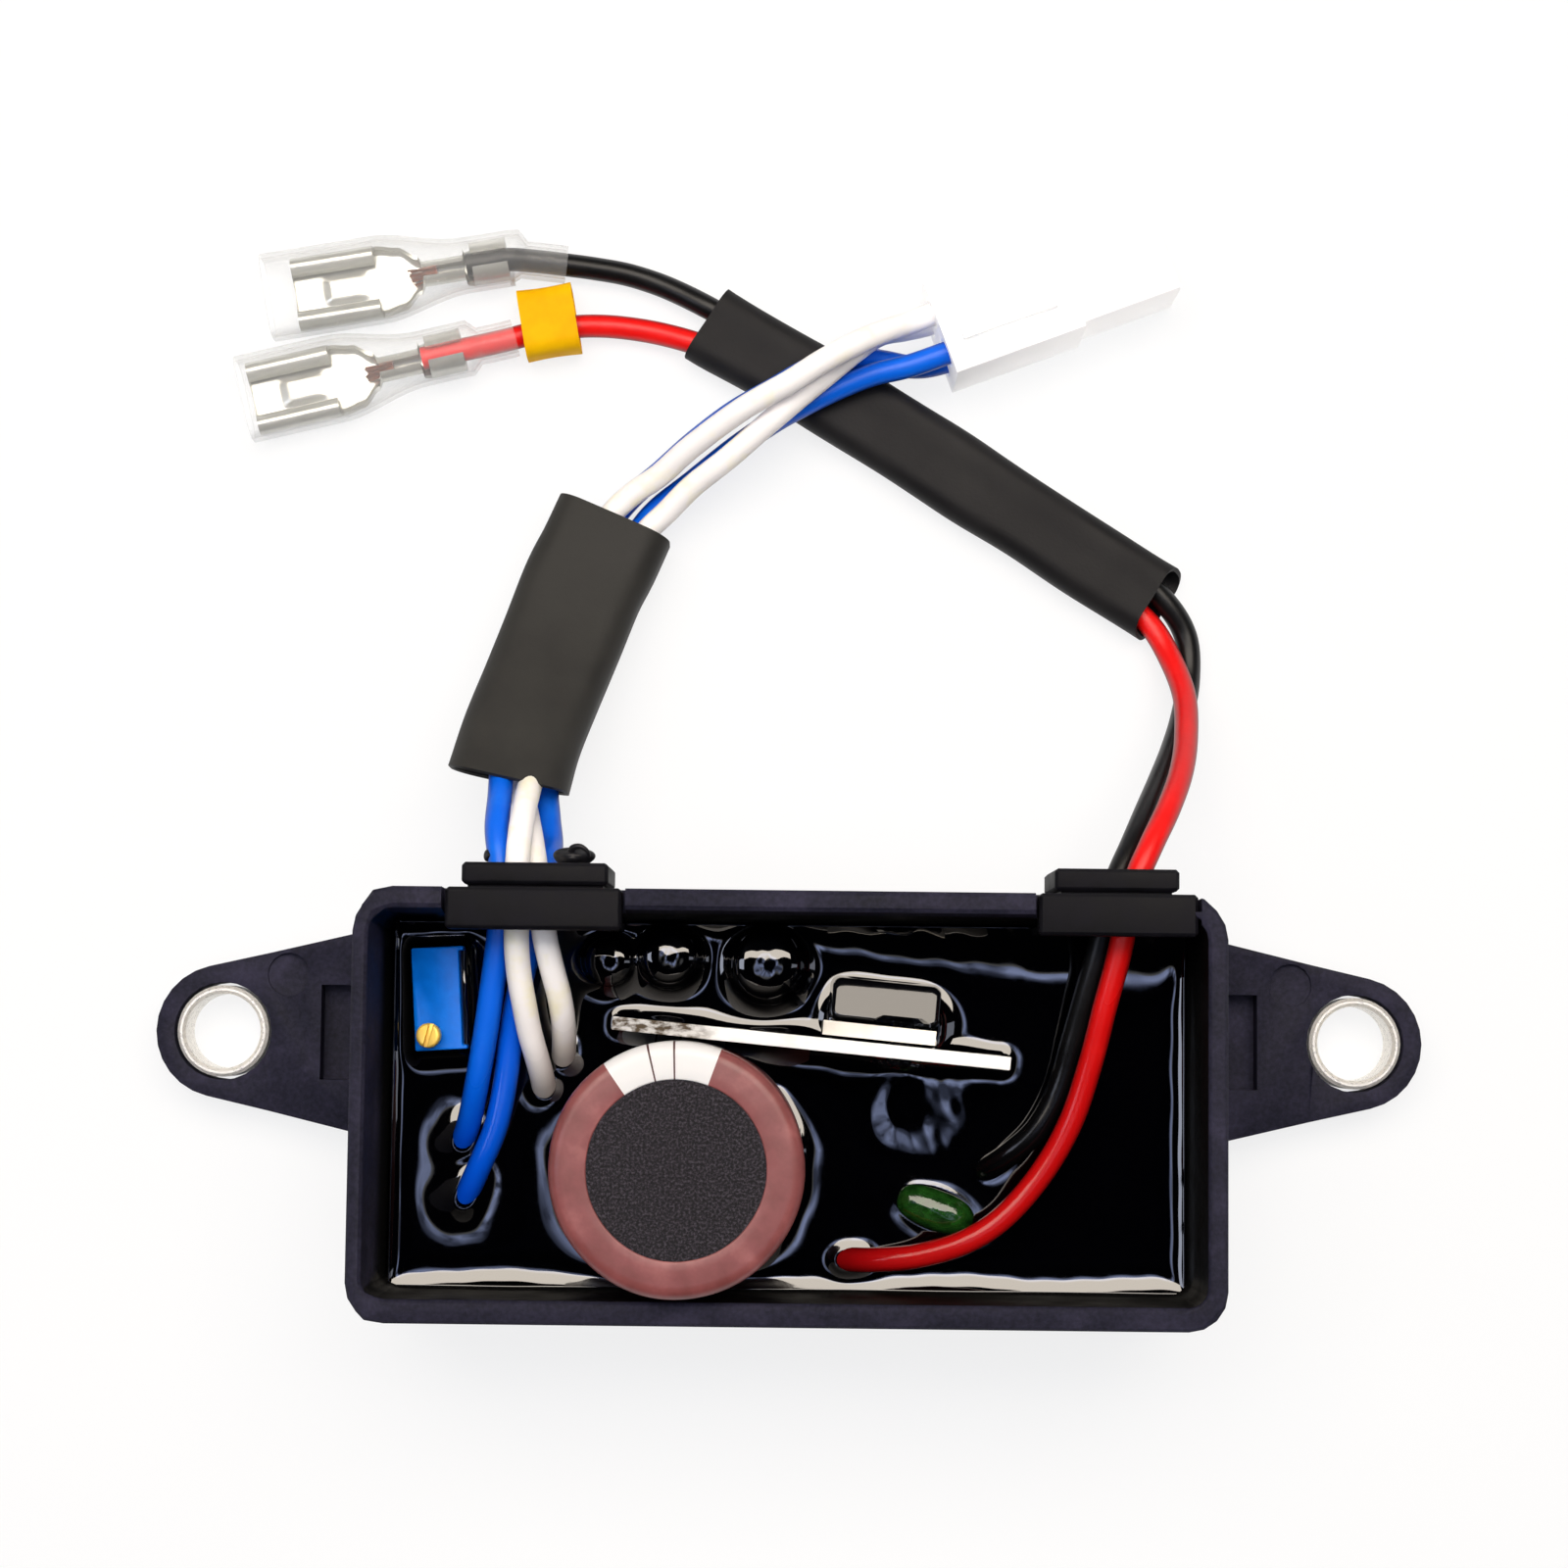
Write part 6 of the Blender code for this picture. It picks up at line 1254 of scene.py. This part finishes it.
def make_terminal(colour, place, turn):
    """Grid of strip sections along the terminal, with the crimp's bites and the stamped floor."""
    rows = []
    for along, flat, roll, angle in eased_rows(
            TERMINAL_KEYS, lambda run: max(2, round(run / 0.35))):
        section = strip_section(flat, roll, math.radians(angle))
        rows.append(np.column_stack([np.full(len(section), along), section]))
    grid = np.array(rows)
    x, y, z = grid[..., 0], grid[..., 1], grid[..., 2]
    bites = 0.10 * np.exp(-((x - 4.7) / 0.55) ** 2) * (z > 0.9)
    stamped = 0.30 * np.exp(-((x - 14.6) / 2.0) ** 8 - (y / 1.3) ** 8) * (abs(y) < 2.4)
    grid[..., 2] = z + stamped - bites + FLOOR_HEIGHT + SHEET / 2
    return surface("terminal_" + colour, placed(grid, place, turn), terminal_finish, sharp=40)


TERMINAL_PLACES = {
    "red": ((-34.67, 73.42), math.radians(193.7)),
    "black": ((-30.46, 82.7), math.radians(190.0)),
}
terminals = {colour: stands_for(make_terminal(colour, *spot), "terminal_tin",
                                "spade_terminal_" + colour)
             for colour, spot in TERMINAL_PLACES.items()}
print("terminal faces:", len(terminals["red"].data.polygons))


# %% [markdown]
# ## Copper strands
# Seventeen strands stick out past the crimp that bites them. Each one is a thin wire with its own
# small bend.


# %% Copper strands
def make_strands(colour, place, turn, count=17):
    """Thin wires from inside the crimp to just past it, fanned by a fixed scatter."""
    chance = np.random.default_rng(5 if colour == "red" else 8)
    t = np.linspace(0, 1, 9)[:, None]
    parts = []
    for strand in range(count):
        angle, away = 2.4 * strand, 0.55 * math.sqrt((strand + 0.5) / count)
        start = np.array([5.4, away * math.cos(angle), 2.05 + 0.8 * away * math.sin(angle)])
        reach = np.array([2.6 + chance.uniform(-0.25, 0.3),
                          chance.uniform(-0.18, 0.18) + 0.5 * start[1],
                          chance.uniform(-0.15, 0.1) - 0.15])
        line = start + reach * t + np.array([0, 0, -0.25]) * t ** 2
        wire = tube(placed(line, place, turn), 0.11 * MM, 8)
        parts.append(surface(f"strand_{colour}_{strand}", wire, copper_finish))
    mesh = bpy.data.meshes.new("strands_" + colour)
    body = bmesh.new()
    for piece in parts:
        body.from_mesh(piece.data)
        bpy.data.objects.remove(piece)
    body.to_mesh(mesh)
    body.free()
    mesh.materials.append(copper_finish)
    mesh.shade_smooth()
    bundle = bpy.data.objects.new("strands_" + colour, mesh)
    bpy.context.scene.collection.objects.link(bundle)
    return stands_for(bundle, "terminal_tin")


strands = {colour: make_strands(colour, *spot) for colour, spot in TERMINAL_PLACES.items()}
print("strand faces:", len(strands["red"].data.polygons))


# %% [markdown]
# ## Clear boots
# Each boot is moulded from soft clear PVC: wide over the receptacle and narrow over the lead. Its
# walls show mostly at their edges, where the eye looks through more plastic.


# %% Clear boots
BOOT_REACH = {"red": 7.2, "black": 7.6}
BOOT_MOUTH = {"red": 20.4, "black": 22.35}


def make_boot(colour, place, turn):
    """Sections from the lead to the mouth: outer ones forward, then inner ones back."""
    neck, wall = 3.7, 0.4
    crimp = np.array([*place, 2.7]) * MM
    ahead = np.array([math.cos(turn), math.sin(turn), 0.0])
    on_lead = smooth_line(ROUTES["lead_" + colour][-8:], 0.5 * MM)
    behind = -(on_lead - crimp) @ ahead / MM
    kept = (behind > 3.2) & (behind < BOOT_REACH[colour])
    stations = [(point, neck, neck, 1.8) for point in on_lead[kept]]
    keys = [(-2.45, 5.4, 5.2, 2.34, 0.0), (2.45, 5.4, 5.2, 2.34, 0.0),
            (11.35, 8.5, 4.8, 1.7, -0.15), (BOOT_MOUTH[colour], 8.5, 4.8, 1.7, -0.15)]
    for along, width, height, corner, lift in eased_rows(keys, lambda run: 13):
        point = crimp + ahead * along * MM + np.array([0, 0, lift * MM])
        stations.append((point, width, height, corner))
    line = np.array([station[0] for station in stations])
    outer, inner = ([rounded_outline((w - 2 * d) * MM, (h - 2 * d) * MM, (c - d) * MM, 56)
                     for _, w, h, c in stations] for d in (0.0, wall))
    grid = np.concatenate([swept(line, outer), swept(line, inner)[::-1]])
    return surface("clear_boot_" + colour, grid, clear_finish, loop=True, sharp=60)


boots = {colour: stands_for(make_boot(colour, *spot), "boot_clear", "boot_" + colour)
         for colour, spot in TERMINAL_PLACES.items()}
print("boot faces:", len(boots["red"].data.polygons))

# %% [markdown]
# ## Leads
# Each lead is a round tube along its route, from the board to its terminal or plug. The tubes
# don't twist as they rise from the resin, because each section's frame is carried on from the one
# before.

# %% Leads
LEAD_DIAMETER = 2.3 * MM
for name, line in lines.items():
    kind = name.removesuffix("_1").removesuffix("_2")
    swell = 1 + 0.006 * np.sin(np.linspace(0, 40, len(line)))
    lead = surface(name + "_lead", tube(line, LEAD_DIAMETER / 2 * swell), lead_finishes[kind],
                   sharp=60)
    stands_for(lead, kind.replace("sense", "lead"), name)
print("leads:", list(lines))

# %% [markdown]
# ## Pieces that keep their imported shape
# The board, the can, the rubber bung, the rivet and the plug's contacts are hidden or nearly so.
# They keep the imported shapes and take a finish.

# %% Hidden pieces
# The rivet's black is painted shade: it stands above the resin, behind the plate.
HIDDEN = {"circuit_board": laminate_finish, "capacitor_can": plate_finish,
          "capacitor_bung": wet_black_and_shade, "transistor_rivet": wet_black_and_shade}
HIDDEN.update({f"plug_contact_{number}": terminal_finish for number in (1, 2, 3, 4)})
for node, finish in HIDDEN.items():
    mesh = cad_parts[node].data
    mesh.materials.clear()
    mesh.materials.append(finish)
print("finished in place:", len(HIDDEN), "pieces")
